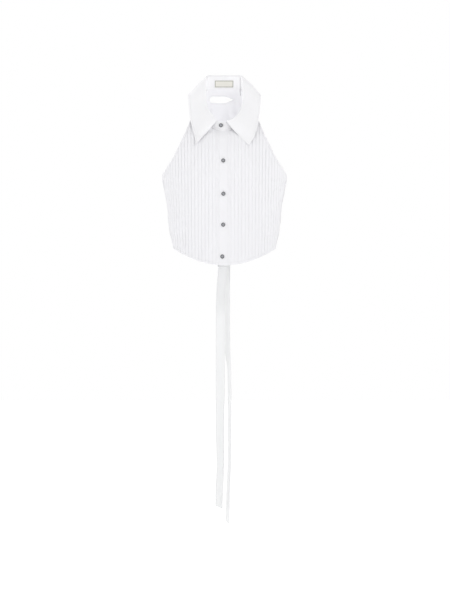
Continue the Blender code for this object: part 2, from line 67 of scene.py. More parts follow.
# Figure sections from the neck down, in millimetres.
frontForm = {
    "height": (0, -30, -61, -73, -87, -125, -160, -190, -207, -232, -274, -316, -342, -392, -445),
    "halfWidth": (175, 175, 175, 175, 175, 175, 175, 175, 170.5, 167.5, 159.5, 156.5, 152.5, 142, 134),
    "depth": (2, 31, 62, 74, 83.5, 100, 108, 111, 110, 107, 101, 96, 94, 92, 92),
}
backForm = {
    "height": (59, 50, 30, 0, -10, -31, -64, -106, -140, -168, -190, -232, -274, -316, -342, -392, -445),
    "halfWidth": (60, 60.5, 64, 76, 92, 108, 124, 143, 158, 169, 175, 167.5, 159.5, 156.5, 152.5, 142, 134),
    "depth": (60, 62, 69, 77, 80, 84, 89, 94, 96, 97, 97, 94, 89, 85, 82, 82, 84),
    "edge": (42, 50.5, 55, 60, 80, 95, 109, 129, 146, 164, 175, 167.5, 159.5, 156.5, 152.5, 142, 134),
}
armhole = {
    "height": (2, -8, -31, -64, -106, -140, -168, -190),
    "halfWidth": (62, 80, 95, 109, 129, 146, 164, 175),
}

# Stations round the neck from centre back, in millimetres: neck seam, roll line, and the fall's free edge and
# bulge.
collarBack = {
    "angle": (0, 27, 50, 66, 82, 95, 120, 150),
    "seamZ": (59, 59, 58.5, 49, 19, -7, -31, -52),
    "roll": ((0, 62, 92), (28, 55.5, 92), (45, 40, 91.5), (50, 20, 83), (51, -6, 46), (50, -23, 18),
             (43, -45, -6), (27, -60, -28)),
    "edge": ((0, 96, 46), (42, 89, 46), (78, 70, 44), (100, 36, 41), (102, 8, 34), (101, -12, 14),
             (96, -40, -31), (85, -73, -74)),
    "bulge": (4, 4, 4, 4, 4, 4, 3, 0.5),
}
rightPoint = {"angle": 175, "seamZ": -61, "roll": (5, -65, -37), "edge": (68, -89.5, -102), "bulge": -6}
leftPoint = {"angle": 162, "seamZ": -58, "roll": (20, -62, -35), "edge": (80, -95, -97), "bulge": -8}
overEnd = {"angle": 184, "seamZ": -61, "roll": (-4, -65, -37), "edge": (0, 0, 0), "bulge": 0}
underEnd = {"angle": 197, "seamZ": -58.5, "roll": (-19, -61.5, -35.5), "edge": (0, 0, 0), "bulge": 0}


# Curves and surfaces

# A smooth curve through a table's column that never overshoots, for an array of places.
def monotone(places, levels, value):
    places = np.asarray(places, float)
    levels = np.asarray(levels, float)
    if places[0] > places[-1]:
        places, levels = places[::-1], levels[::-1]
    steps = np.diff(levels) / np.diff(places)
    slopes = np.empty_like(levels)
    slopes[0], slopes[-1] = steps[0], steps[-1]
    same = steps[:-1] * steps[1:] > 0
    slopes[1:-1] = np.where(same, 2 * steps[:-1] * steps[1:] / np.where(same, steps[:-1] + steps[1:], 1), 0)
    where = np.clip(np.searchsorted(places, value) - 1, 0, len(steps) - 1)
    gap = places[where + 1] - places[where]
    t = np.clip((value - places[where]) / gap, 0, 1)
    return (
        (2 * t**3 - 3 * t**2 + 1) * levels[where]
        + (t**3 - 2 * t**2 + t) * gap * slopes[where]
        + (3 * t**2 - 2 * t**3) * levels[where + 1]
        + (t**3 - t**2) * gap * slopes[where + 1]
    )


def atHeight(table, name, z):
    return monotone(table["height"], table[name], np.asarray(z) / mm) * mm


# A rounded curve through a list of points, at evenly shared places.
def through(points, count):
    points = np.asarray(points, float)
    padded = np.vstack([2 * points[0] - points[1], points, 2 * points[-1] - points[-2]])
    made = []
    for place in np.linspace(0, len(points) - 1, count):
        i = min(int(place), len(points) - 2)
        t = place - i
        a, b, c, d = padded[i:i + 4]
        bend = 2 * a - 5 * b + 4 * c - d
        twist = 3 * b - a - 3 * c + d
        made.append(0.5 * (2 * b + (c - a) * t + bend * t**2 + twist * t**3))
    return np.array(made)


def smoothStep(value):
    t = np.clip(value, 0, 1)
    return t * t * (3 - 2 * t)


def bell(value, width):
    return np.exp(-(value / width)**2)


def unit(vectors):
    return vectors / np.maximum(np.linalg.norm(vectors, axis=-1, keepdims=True), 1e-12)


# The level direction away from the garment's upright axis.
def outward(points):
    return unit(points * np.array([1, 1, 0]))


# The way a surface faces at each place, turned to the front for -1 or to the back for 1.
def facingOf(surface, across, height, step, way):
    level = surface(across + step, height) - surface(across - step, height)
    down = surface(across, height - 1 * mm) - surface(across, height + 1 * mm)
    out = unit(np.cross(level, down))
    return np.where(out[..., 1:2] * way < 0, -out, out)


# Points of a grid at fractional rows and columns.
def sample(grid, row, place):
    row = np.clip(np.asarray(row, float), 0, grid.shape[0] - 1.001)
    place = np.clip(np.asarray(place, float), 0, grid.shape[1] - 1.001)
    r, c = row.astype(int), place.astype(int)
    fr, fc = (row - r)[..., None], (place - c)[..., None]
    return (
        grid[r, c] * (1 - fr) * (1 - fc) + grid[r + 1, c] * fr * (1 - fc)
        + grid[r, c + 1] * (1 - fr) * fc + grid[r + 1, c + 1] * fr * fc
    )


# Soft repeatable noise from -1 to 1 for arrays of two coordinates.
def wobble(seed, a, b, detail=2):
    a, b = np.broadcast_arrays(np.asarray(a, float), np.asarray(b, float))
    flat = [noise.fractal((x, y, seed * 7.31), 1.0, 2.0, detail) for x, y in zip(a.ravel(), b.ravel())]
    return np.array(flat).reshape(a.shape)


# How a crease fades towards its ends, and the shallow fold of the other sense beside it.
creaseForm = {"fade": 0.3, "endWidth": 0.6, "beside": 0.45, "besidePlace": 1.7}


# Soft ridges and troughs on a panel. Each crease has its start and its end, both across and down, its width,
# its rise and its bow, in millimetres along the cloth.
def creased(creases, u, v):
    total = np.zeros(np.broadcast(u, v).shape)
    for u0, v0, u1, v1, width, rise, bow in creases:
        du, dv = (u1 - u0) * mm, (v1 - v0) * mm
        length = math.hypot(du, dv)
        along = ((u - u0 * mm) * du + (v - v0 * mm) * dv) / length**2
        aside = ((u - u0 * mm) * dv - (v - v0 * mm) * du) / length
        aside = aside - bow * mm * 4 * along * (1 - along)
        ends = smoothStep(along / creaseForm["fade"]) * smoothStep((1 - along) / creaseForm["fade"])
        side = width * mm * (creaseForm["endWidth"] + (1 - creaseForm["endWidth"]) * ends)
        beside = creaseForm["beside"] * bell(aside - creaseForm["besidePlace"] * side, side)
        total += rise * mm * ends * (bell(aside, side) - beside)
    return total


def hemHeight(x, centre):
    return centre + (bodice["sideHemHeight"] - centre) * (x / bodice["sideHemHalfWidth"])**2


# Meshes

def added(name, data):
    thing = bpy.data.objects.new(name, data)
    bpy.context.scene.collection.objects.link(thing)
    return thing


def finishMesh(name, points, faces, material, uv=None, sharp=42):
    mesh = bpy.data.meshes.new(name)
    mesh.from_pydata(np.asarray(points).tolist(), [], [tuple(map(int, f)) for f in faces])
    if uv is not None:
        layer = mesh.uv_layers.new(name="cloth")
        index = np.empty(len(mesh.loops), np.int32)
        mesh.loops.foreach_get("vertex_index", index)
        layer.data.foreach_set("uv", np.asarray(uv, np.float32)[index].ravel())
    work = bmesh.new()
    work.from_mesh(mesh)
    bmesh.ops.recalc_face_normals(work, faces=work.faces)
    work.to_mesh(mesh)
    work.free()
    mesh.materials.append(material)
    mesh.shade_smooth()
    mesh.set_sharp_from_angle(angle=math.radians(sharp))
    return added(name, mesh)


def gridFaces(rows, columns, start=0):
    a = (np.arange(rows - 1)[:, None] * columns + np.arange(columns - 1)).ravel() + start
    return np.stack([a, a + 1, a + columns + 1, a + columns], axis=1)


def rimOf(rows, columns):
    rim = list(range(columns))
    rim += [r * columns + columns - 1 for r in range(1, rows)]
    rim += [(rows - 1) * columns + c for c in range(columns - 2, -1, -1)]
    rim += [r * columns for r in range(rows - 2, 0, -1)]
    return rim


# A closed thin wall between two grids of points.
def wall(name, outer, inner, uv, material, sharp=42):
    rows, columns = outer.shape[:2]
    size = rows * columns
    points = np.vstack([outer.reshape(-1, 3), inner.reshape(-1, 3)])
    front = gridFaces(rows, columns)
    back = gridFaces(rows, columns, size)[:, ::-1]
    rim = np.array(rimOf(rows, columns))
    after = np.roll(rim, -1)
    side = np.stack([rim, rim + size, after + size, after], axis=1)
    flat = uv.reshape(-1, 2)
    return finishMesh(name, points, np.vstack([front, back, side]), material, np.vstack([flat, flat]), sharp)


# Lengths of cloth across and down a grid of points.
def gridUv(grid):
    middle = grid[grid.shape[0] // 2]
    across = np.concatenate([[0], np.cumsum(np.linalg.norm(np.diff(middle, axis=0), axis=1))])
    down = np.linalg.norm(np.diff(grid, axis=0), axis=2)
    down = np.vstack([np.zeros((1, grid.shape[1])), np.cumsum(down, axis=0)])
    return np.stack([np.broadcast_to(across, down.shape), down], axis=-1)


# Faces of a round body: a first point, rings of points, and a last point.
def roundFaces(rings, sides):
    faces = []
    for k in range(sides):
        after = (k + 1) % sides
        faces.append((0, 1 + after, 1 + k))
        for low in range(1, 1 + (rings - 1) * sides, sides):
            faces.append((low + k, low + after, low + sides + after, low + sides + k))
        last = 1 + (rings - 1) * sides
        faces.append((last + k, last + after, last + sides))
    return faces


# A closed round tube along a short path.
def tube(path, radius, sides=8):
    path = np.asarray(path, float)
    run = unit(np.gradient(path, axis=0))
    helper = np.where(np.abs(run[:, 2:]) > 0.9, np.array([[1.0, 0, 0]]), np.array([[0, 0, 1.0]]))
    a = unit(np.cross(run, helper))
    b = np.cross(run, a)
    turn = np.linspace(0, 2 * math.pi, sides, endpoint=False)
    rings = path[:, None] + radius * (a[:, None] * np.cos(turn)[:, None] + b[:, None] * np.sin(turn)[:, None])
    return np.vstack([path[:1], rings.reshape(-1, 3), path[-1:]]), roundFaces(len(path), sides)


def joined(parts):
    points, faces, base = [], [], 0
    for p, f in parts:
        points.append(p)
        faces += [tuple(i + base for i in face) for face in f]
        base += len(p)
    return np.vstack(points), faces


# Cuts one closed body out of another and leaves a plain mesh.
def cutOut(piece, cutter, sharp):
    cut = piece.modifiers.new("cut", "BOOLEAN")
    cut.operation = "DIFFERENCE"
    cut.object = cutter
    graph = bpy.context.evaluated_depsgraph_get()
    done = bpy.data.meshes.new_from_object(piece.evaluated_get(graph))
    piece.modifiers.clear()
    piece.data = done
    bpy.data.objects.remove(cutter, do_unlink=True)
    done.shade_smooth()
    done.set_sharp_from_angle(angle=math.radians(sharp))


def settle(piece, nodes=()):
    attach(piece, "root")
    if nodes:
        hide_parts(*nodes)


# Shader maths

# A shader socket that takes part in Python arithmetic.
class Sock:

    def __init__(self, tree, socket=None):
        self.tree = tree
        self.socket = socket

    def node(self, kind, settings=None, outputName=0, **values):
        made = self.tree.nodes.new(kind)
        for name, value in (settings or {}).items():
            setattr(made, name, value)
        for name, value in values.items():
            slot = made.inputs[int(name[1:])] if name[1:].isdigit() else made.inputs[name.replace("_", " ")]
            if isinstance(value, Sock):
                self.tree.links.new(value.socket, slot)
            else:
                slot.default_value = value
        return Sock(self.tree, made.outputs[outputName])

    # Another output of the node that this socket belongs to.
    def output(self, index):
        return Sock(self.tree, self.socket.node.outputs[index])

    def maths(self, operation, other=None):
        values = {"i0": self} if other is None else {"i0": self, "i1": other}
        return self.node("ShaderNodeMath", {"operation": operation}, **values)

    def __add__(self, other):
        return self.maths("ADD", other)

    def __sub__(self, other):
        return self.maths("SUBTRACT", other)

    def __mul__(self, other):
        return self.maths("MULTIPLY", other)

    def __gt__(self, other):
        return self.maths("GREATER_THAN", other)

    # A colour from low to high, with this socket as the share of high.
    def mixed(self, low, high):
        ends = [end if isinstance(end, Sock) else (*end, 1) for end in (low, high)]
        return self.node("ShaderNodeMix", {"data_type": "RGBA"}, 2, i0=self, i6=ends[0], i7=ends[1])

    def noise(self, scale, detail=2.0, **values):
        return self.node("ShaderNodeTexNoise", Vector=self, Scale=scale, Detail=detail, **values)

    def bump(self, strength, distance=0.2 * mm, **values):
        return self.node("ShaderNodeBump", Strength=strength, Distance=distance, Height=self, **values)


# A Principled material with its constants set, its shader, and the object's own coordinates.
def newMaterial(name, viewColour, fixed):
    made = bpy.data.materials.new(name)
    made.use_nodes = True
    made.diffuse_color = (*viewColour, 1)
    shader = made.node_tree.nodes["Principled BSDF"]
    for socketName, value in fixed.items():
        shader.inputs[socketName].default_value = value
    return made, shader, Sock(made.node_tree).node("ShaderNodeTexCoord", outputName="Object")


# Lengths across and down the cloth, from the piece's own map.
def clothLengths(place):
    split = place.node("ShaderNodeSeparateXYZ", i0=place.node("ShaderNodeUVMap", {"uv_map": "cloth"}))
    return split, split.output(1)


def feed(shader, **links):
    for name, value in links.items():
        value.tree.links.new(value.socket, shader.inputs[name.replace("_", " ")])


def darker(colour, share):
    return tuple(c * share for c in colour)


poplin = {
    "white": (0.815, 0.813, 0.831),
    "shade": (0.780, 0.778, 0.797),
    "threads": 1900,
    "weaveBump": 0.10,
    "slubScale": 420.0,
    "wearScale": 7.0,
    "crumpleScale": 34,
    "crumpleBump": 0.16,
    "crumpleDepth": 2.5 * mm,
    "roughness": 0.86,
    "sheen": 0.12,
    "glow": 0.35,
    "glowDepth": 1.6 * mm,
}


# Plain-woven cotton: crossing threads, faint slubs, soft crumples and a dry, slightly uneven finish.
def makePoplin(name, **changes):
    look = {**poplin, **changes}
    fixed = {
        "Sheen Weight": look["sheen"],
        "Sheen Roughness": 0.6,
        "Specular IOR Level": 0.2,
        "Subsurface Weight": look["glow"],
        "Subsurface Radius": (1.0, 1.0, 1.0),
        "Subsurface Scale": look["glowDepth"],
    }
    made, shader, place = newMaterial(name, look["white"], fixed)
    across, down = clothLengths(place)
    warp = (across * (look["threads"] * math.pi)).maths("SINE")
    weft = (down * (look["threads"] * math.pi)).maths("SINE")
    weave = (warp * weft) * 0.5 + 0.5
    slub = place.noise(look["slubScale"])
    crumple = place.noise(look["crumpleScale"], 4.0, Roughness=0.55, Distortion=0.6)
    worn = place.noise(look["wearScale"]) * 0.55 + slub * 0.25 + weave * 0.1
    fine = (weave * 0.8 + slub * 0.6).bump(look["weaveBump"])
    feed(
        shader,
        Base_Color=worn.mixed(look["white"], look["shade"]),
        Roughness=slub * 0.12 + (look["roughness"] - 0.06),
        Normal=crumple.bump(look["crumpleBump"], look["crumpleDepth"], Normal=fine),
    )
    return made


def makeThread(name, colour):
    made, shader, place = newMaterial(name, colour, {"Sheen Weight": 0.2, "Specular IOR Level": 0.4})
    twist = place.noise(900.0)
    feed(shader, Base_Color=twist.mixed(colour, darker(colour, 0.86)), Roughness=twist * 0.2 + 0.5)
    return made


shellLook = {
    "rim": (0.115, 0.118, 0.125),
    "middle": (0.30, 0.305, 0.32),
    "glint": (0.20, 0.22, 0.25),
    "rimFrom": 0.52,
}


# Smoky shell: darker towards the rim, layered and uneven in tone.
def makeShell(name, look):
    made, shader, place = newMaterial(name, look["rim"], {"Coat Roughness": 0.08, "Specular IOR Level": 0.6})
    fromCentre, _ = clothLengths(place)
    layers = place.noise(260.0, 3.0, Distortion=1.6)
    rim = place.node("ShaderNodeClamp", i0=(fromCentre - look["rimFrom"]) * 5.0)
    tone = (layers * 0.8).mixed(look["middle"], look["glint"])
    feed(
        shader,
        Base_Color=rim.mixed(tone, look["rim"]),
        Roughness=layers * 0.2 + 0.16,
        Coat_Weight=layers * 0.3 + 0.3,
        Normal=layers.bump(0.15),
    )
    return made


cotton = makePoplin("whitePoplin")
# Collar cloth: the same poplin made brighter, as painted light for the collar leaves, which these lamps light
# less than the body; its crumples are also shallower.
collarCottonPaintedLight = makePoplin("collarPoplinPaintedLight", white=(0.875, 0.873, 0.882), crumpleBump=0.08)
# Tie cloth: the same poplin made a little darker, as painted shade for the hanging ties, which get open light
# from all round here.
tieCottonPaintedShade = makePoplin(
    "tiePoplinPaintedShade", white=(0.810, 0.816, 0.818), shade=(0.775, 0.781, 0.784), crumpleBump=0.2
)
thread = makeThread("whiteThread", (0.76, 0.76, 0.77))
buttonThread = makeThread("buttonThread", (0.62, 0.62, 0.64))
shell = makeShell("smokyShell", shellLook)
print("materials made")

# Every sewn line, how far in from its edge it runs, and how far each piece's stitches lie above the cloth.
stitchLines = []
stitchInset = {"armhole": 5 * mm, "hem": 7 * mm, "sideSeam": 2.4 * mm, "keyhole": 3.6 * mm}
stitchLift = {
    "front": 0.14 * mm,
    "placket": 0.15 * mm,
    "back": 0.12 * mm,
    "stand": 0.15 * mm,
    "fall": 0.12 * mm,
    "label": 0.1 * mm,
    "band": 0.1 * mm,
}


# A sewn line over a grid of points, lifted away from the garment's upright axis.
def sewOn(grid, row, place, lift):
    line = sample(grid, row, place)
    stitchLines.append(line + outward(line) * lift)


# Fronts

pleats = {
    "pitch": 10.1 * mm,
    "first": 6.0 * mm,
    "sway": 0.28 * mm,
    "swayStart": 12 * mm,
    "swayEnd": 210 * mm,
    "swayFade": 30 * mm,
    "unevenness": 0.22,
    "pressedFrom": 8,
    "pressedOver": 8,
    "pressedAtSide": 0.55,
    "shortOfCorner": 1.5 * mm,
    "drift": 0.5 * mm,
}
# One pressed knife pleat from its foot outwards, in millimetres along the cloth and up from it. Its folded
# edge faces the centre front and overhangs the foot a little.
pleatShape = (
    (0.0, 0.02), (0.12, -0.12), (0.06, 0.28), (-0.2, 0.64), (-0.28, 0.94), (-0.06, 1.18),
    (0.45, 1.26), (1.5, 1.18), (3.2, 0.94), (5.4, 0.62), (7.7, 0.3), (9.3, 0.1),
)
besidePlacket = (0, 0.8, 2.0, 3.6, 5.0)
edgeRows = (0.0, 0.5, 1.2, 2.4, 4.0, 6.0, 6.8, 7.6, 9.0)
# The turned hem: its rise, width and slope, and how flat it presses the pleats.
turnedEdge = {
    "rise": 0.35 * mm,
    "width": 6.6 * mm,
    "slope": 1.2 * mm,
    "start": 0.3,
    "flat": 0.4,
    "flatRun": 6 * mm,
}
placket = {
    "centre": -3 * mm,
    "halfWidth": 15 * mm,
    "proud": 1.0 * mm,
    "stitchInset": 3 * mm,
    "stitchDip": 0.25 * mm,
    "stitchDipWidth": 0.9 * mm,
    "drift": 0.35 * mm,
    "edgeRun": 0.8 * mm,
    "edgeDrop": 0.5 * mm,
    "rows": 150,
    "columns": 41,
}
frontCreases = {
    -1: (
        (214, -196, 120, -262, 9, 1.9, 6),
        (206, -226, 140, -300, 8, -1.5, -5),
        (186, -352, 92, -330, 10, 1.7, 5),
        (184, -340, 110, -290, 8, 1.2, -4),
        (180, -368, 70, -402, 9, 1.4, -5),
        (60, -120, 118, -196, 12, 1.2, 4),
        (36, -300, 52, -430, 13, 1.5, 3),
        (112, -300, 126, -402, 11, -1.6, -2),
    ),
    1: (
        (216, -204, 130, -256, 8, -1.6, 5),
        (208, -214, 118, -306, 10, 1.8, -6),
        (188, -346, 100, -318, 9, 1.5, 4),
        (184, -360, 84, -372, 8, -1.3, 3),
        (178, -372, 90, -408, 9, 1.3, -4),
        (56, -128, 108, -210, 12, 1.1, -4),
        (44, -290, 38, -432, 12, -1.4, -3),
        (96, -310, 112, -410, 12, 1.7, 3),
    ),
}

# Angle round the figure for each height and length of cloth from the centre line.
tableHeights = np.linspace(4 * mm, -452 * mm, 300)
tableLengths = np.linspace(0, 262 * mm, 300)


def angleTable():
    angles = np.linspace(0, math.pi / 2, 241)
    x = atHeight(frontForm, "halfWidth", tableHeights)[:, None] * np.sin(angles)
    y = atHeight(frontForm, "depth", tableHeights)[:, None] * np.cos(angles)
    steps = np.hypot(np.diff(x, axis=1), np.diff(y, axis=1))
    lengths = np.concatenate([np.zeros((len(x), 1)), np.cumsum(steps, axis=1)], axis=1)
    return np.array([np.interp(tableLengths, row, angles) for row in lengths]), lengths[:, -1]


frontAngles, frontQuarter = angleTable()


# Points of the plain front for lengths of cloth from the centre line and heights.
def frontPlain(side, s, z):
    s, z = np.broadcast_arrays(np.asarray(s, float), np.asarray(z, float))
    row = (z - tableHeights[0]) / (tableHeights[-1] - tableHeights[0]) * (len(tableHeights) - 1)
    place = np.abs(s) / tableLengths[-1] * (len(tableLengths) - 1)
    angle = sample(frontAngles[..., None], row, place)[..., 0]
    x = atHeight(frontForm, "halfWidth", z) * np.sin(angle) * np.sign(s) * side
    y = -atHeight(frontForm, "depth", z) * np.cos(angle)
    return np.stack([x, y, z], axis=-1)


def frontFacing(side, s, z):
    return facingOf(lambda length, height: frontPlain(side, length, height), s, z, 1 * mm, -1)


def neckHeight(x):
    angle = 180 - np.degrees(np.arcsin(np.clip(np.abs(x) / cloth["panelNeckRadius"], 0, 1)))
    angles = collarBack["angle"] + (rightPoint["angle"],)
    return monotone(angles, collarBack["seamZ"] + (rightPoint["seamZ"],), angle) * mm


# Top and bottom heights of the front's cloth for lengths from the centre line, each found by halving.
def columnEnds(s):
    s = np.abs(np.asarray(s, float))

    def belowTop(z):
        x = np.abs(frontPlain(1, s, z)[..., 0])
        inNeck = (x <= cloth["panelNeckRadius"]) & (z > neckHeight(x) - cloth["neckClear"])
        return (x <= atHeight(armhole, "halfWidth", z)) & ~inNeck

    def aboveBottom(z):
        x = np.abs(frontPlain(1, s, z)[..., 0])
        quarter = np.interp(-z, -tableHeights, frontQuarter)
        return (s <= quarter) & (z >= hemHeight(x, bodice["frontHemHeight"]))

    ends = []
    for outside, test in ((0.0, belowTop), (bodice["frontHemHeight"] - 12 * mm, aboveBottom)):
        inside = np.full_like(s, bodice["bustHeight"])
        beyond = np.full_like(s, outside)
        for _ in range(30):
            middle = (inside + beyond) / 2
            held = test(middle)
            inside = np.where(held, middle, inside)
            beyond = np.where(held, beyond, middle)
        ends.append(inside)
    return ends


def pleatStart(side):
    return abs(side * placket["halfWidth"] + placket["centre"]) + cloth["seamGap"]


# Columns of the front from the placket outwards: length from the centre line, rise and number of the pleat.
def frontColumns(side):
    start = pleatStart(side)
    limit = float(np.interp(-bodice["bustHeight"], -tableHeights, frontQuarter)) - pleats["shortOfCorner"]
    columns = [(start + near * mm, 0.0, -1) for near in besidePlacket]
    number = 0
    while start + pleats["first"] + number * pleats["pitch"] < limit:
        foot = start + pleats["first"] + number * pleats["pitch"]
        columns += [(foot + along * mm, rise * mm, number) for along, rise in pleatShape]
        number += 1
    columns = [column for column in columns if column[0] < limit - 0.4 * mm]
    return np.array(columns + [(limit, 0.0, number)]).T


def unevenRise(side, number, z):
    outwards = smoothStep((number - pleats["pressedFrom"]) / pleats["pressedOver"])
    pressed = 1 - pleats["pressedAtSide"] * outwards
    return pressed * (1 + pleats["unevenness"] * wobble(11 + side, z * 5 + number * 2.7, number * 1.9))


def pleatSway(side, s, number, z):
    ends = smoothStep((s - pleatStart(side)) / pleats["swayStart"])
    ends = ends * smoothStep((pleats["swayEnd"] - s) / pleats["swayFade"])
    sway = wobble(3 + side, z * 7, number * 0.31) + 0.4 * wobble(5 + side, z * 17, number * 1.3)
    return pleats["sway"] * ends * sway


def softRelief(side, s, z):
    edge = smoothStep((s - pleatStart(side)) / (4 * mm))
    return (creased(frontCreases[side], s, z) + pleats["drift"] * wobble(21 + side, s * 22, z * 16)) * edge


# The finished front at any place, for what is sewn on top of it.
def frontAt(side, s, z, lift):
    lengths, rises, _ = frontColumns(side)
    along = np.maximum.accumulate(lengths + np.arange(len(lengths)) * 1e-9)
    number = np.floor((s - pleatStart(side) - pleats["first"]) / pleats["pitch"])
    relief = np.interp(s, along, rises) * unevenRise(side, number, z) + softRelief(side, s, z)
    return frontPlain(side, s, z) + frontFacing(side, s, z) * (relief + lift)[..., None]


# Distances down each column, close together near its two ends.
def rowPlaces(length, rows):
    near = np.array(edgeRows)[:, None] * mm
    near = np.minimum(near, length * np.arange(len(edgeRows))[:, None] / (rows - 1))
    between = np.linspace(0, 1, rows - 2 * len(edgeRows) + 2)[1:-1, None]
    middle = near[-1] + (length - 2 * near[-1]) * between
    return np.vstack([near, middle, (length - near)[::-1]])


def buildFront(name, node, side):
    lengths, rises, numbers = frontColumns(side)
    top, bottom = columnEnds(lengths)
    down = rowPlaces(top - bottom, bodice["frontRows"])
    z = top - down
    s = lengths + pleatSway(side, lengths, numbers, z)
    fromEdge = np.minimum(down, top - bottom - down)
    flattened = turnedEdge["flat"] + (1 - turnedEdge["flat"]) * smoothStep(fromEdge / turnedEdge["flatRun"])
    folded = 1 - smoothStep((fromEdge - turnedEdge["width"]) / turnedEdge["slope"])
    folded = turnedEdge["rise"] * folded * smoothStep(fromEdge / mm + turnedEdge["start"])
    soft = softRelief(side, s, z) * flattened
    rise = rises * unevenRise(side, numbers, z) * flattened + soft + folded
    plain = frontPlain(side, s, z)
    out = frontFacing(side, s, z)
    outer = plain + out * rise[..., None]
    inner = plain + out * (soft - cloth["wall"])[..., None]
    for grid in (outer, inner):
        grid[..., 1] = np.minimum(grid[..., 1], -cloth["seamGap"] / 2)
    panel = wall(name, outer, inner, np.stack([s, z], axis=-1), cotton, 70)
    settle(panel, [node])
    return lengths[-1]


# A two-column line moved sideways to its left by an inset.
def offsetLine(line, inset):
    run = unit(np.gradient(line, axis=0))
    return line + np.stack([-run[:, 1], run[:, 0]], axis=1) * inset


# Topstitching along the armhole, the hem and the side seam.
def frontSeams(side, limit):
    lengths = np.linspace(pleatStart(side) + 1 * mm, limit, 320)
    top, bottom = columnEnds(lengths)
    x = np.abs(frontPlain(1, lengths, bottom)[:, 0])
    onHem = bottom <= hemHeight(x, bodice["frontHemHeight"]) + 0.5 * mm
    onArm = np.abs(frontPlain(1, lengths, top)[:, 0]) > cloth["panelNeckRadius"] + 5 * mm
    seams = (
        (onArm, top, -stitchInset["armhole"]),
        (onHem, bottom, stitchInset["hem"]),
        (~onHem, bottom, stitchInset["sideSeam"]),
    )
    for chosen, ends, inset in seams:
        path = offsetLine(np.stack([lengths[chosen], ends[chosen]], axis=1), inset)
        stitchLines.append(frontAt(side, path[:, 0], path[:, 1], stitchLift["front"]))


for name, node, side in (("frontLeft", "front_left", -1), ("frontRight", "front_right", 1)):
    frontSeams(side, buildFront(name, node, side))
print("fronts made")


# Button placket

def placketAt(s, z, lift=0.0):
    s, z = np.asarray(s, float), np.asarray(z, float)
    fromStitch = np.abs(s - placket["centre"]) - placket["halfWidth"] + placket["stitchInset"]
    dip = placket["stitchDip"] * bell(fromStitch, placket["stitchDipWidth"])
    total = placket["drift"] * wobble(31, s * 30, z * 20) - dip + placket["proud"] + lift
    return frontPlain(1, s, z) + frontFacing(1, s, z) * total[..., None]


def buildPlacket():
    low = placket["centre"] - placket["halfWidth"]
    high = placket["centre"] + placket["halfWidth"]
    columns = np.linspace(low, high, placket["columns"])
    top, bottom = columnEnds(columns)
    z = top + (bottom - top) * np.linspace(0, 1, placket["rows"])[:, None]
    s = np.broadcast_to(columns, z.shape)
    out = frontFacing(1, s, z)
    fromEdge = np.minimum(s - low, high - s) / placket["edgeRun"]
    outer = placketAt(s, z) - out * (placket["edgeDrop"] * (1 - smoothStep(fromEdge + 0.15)))[..., None]
    inner = frontPlain(1, s, z) - out * cloth["wall"]
    strip = wall("placket", outer, inner, np.stack([s, z], axis=-1), cotton)
    settle(strip, ["button_placket"])
    middle = placket["columns"] // 2
    heights = np.linspace(float(top[middle]) - 3 * mm, float(bottom[middle]) + 2 * mm, 160)
    for sign in (-1, 1):
        across = placket["centre"] + sign * (placket["halfWidth"] - placket["stitchInset"])
        stitchLines.append(placketAt(np.full_like(heights, across), heights, stitchLift["placket"]))
    across = np.linspace(low + 1 * mm, high - 1 * mm, 16)
    hem = hemHeight(across, bodice["frontHemHeight"]) + stitchInset["hem"]
    stitchLines.append(placketAt(across, hem, stitchLift["placket"]))


buildPlacket()
print("placket made")


# Back panel

tie = {"wall": 1.2 * mm, "width": 28 * mm, "bandHeight": -350 * mm, "slant": 8 * mm}
# How strong the back's creases are, and how flat the ties press it round the waist.
backSoft = {
    "creases": 2.1,
    "drift": 0.6 * mm,
    "press": 0.85,
    "pressReach": 17 * mm,
    "under": 20 * mm,
    "mostUnder": 0.1 * mm,
    "edgeFade": 0.06,
    "angleStep": 0.004,
}
backCreases = (
    (-128, -318, -34, -340, 9, 1.9, 6),
    (126, -322, 30, -338, 9, 2.0, -6),
    (-120, -372, -40, -356, 8, 1.6, -5),
    (118, -370, 46, -358, 8, 1.5, 5),
    (-30, -335, -52, -210, 11, 1.8, 5),
    (22, -338, 40, -230, 11, -1.7, -5),
    (-8, -330, -2, -190, 12, 1.5, 4),
    (60, -336, 84, -240, 10, 1.5, 4),
    (-66, -338, -92, -250, 10, -1.6, -4),
    (-24, -366, -34, -418, 9, 1.6, 2),
    (16, -366, 30, -418, 9, -1.5, -2),
    (64, -362, 74, -408, 9, 1.4, 2),
    (-70, -362, -84, -404, 9, 1.4, -2),
    (-96, -60, -30, -130, 11, 1.3, 6),
    (98, -66, 36, -140, 11, 1.3, -6),
    (-34, 10, -52, -70, 9, 1.1, 3),
    (26, 22, 46, -62, 9, 1.1, -3),
    (-150, -196, -80, -240, 9, -1.5, 5),
    (150, -198, 84, -236, 9, 1.6, -5),
)
# The deep crease at the right back corner of the neck, pressed into the collar stand and the panel below it.
cornerCrease = {"across": 45.2 * mm, "low": 36 * mm, "high": 91 * mm, "width": 1.4 * mm, "depth": 5.5 * mm,
                "fade": 5 * mm}
# Outline of the keyhole, across and height in millimetres: blunt on the left, pointed on the right.
keyhole = {
    "outline": (
        (-34, 36.8), (-38.5, 35.3), (-41.8, 31.6), (-43, 26.8), (-41.8, 22), (-38.5, 18.3),
        (-34, 16.8), (-3, 16.8), (13, 20.6), (25, 27.6), (11, 33), (-3, 36.8),
    ),
    "middle": (-9, 26.8),
    "cutFrom": 45 * mm,
    "cutTo": 110 * mm,
    "binding": 1.15 * mm,
    "bindingOut": 0.2 * mm,
}


def backAngle(x, z):
    return np.arcsin(np.clip(np.asarray(x) / atHeight(backForm, "halfWidth", z), -1, 1))


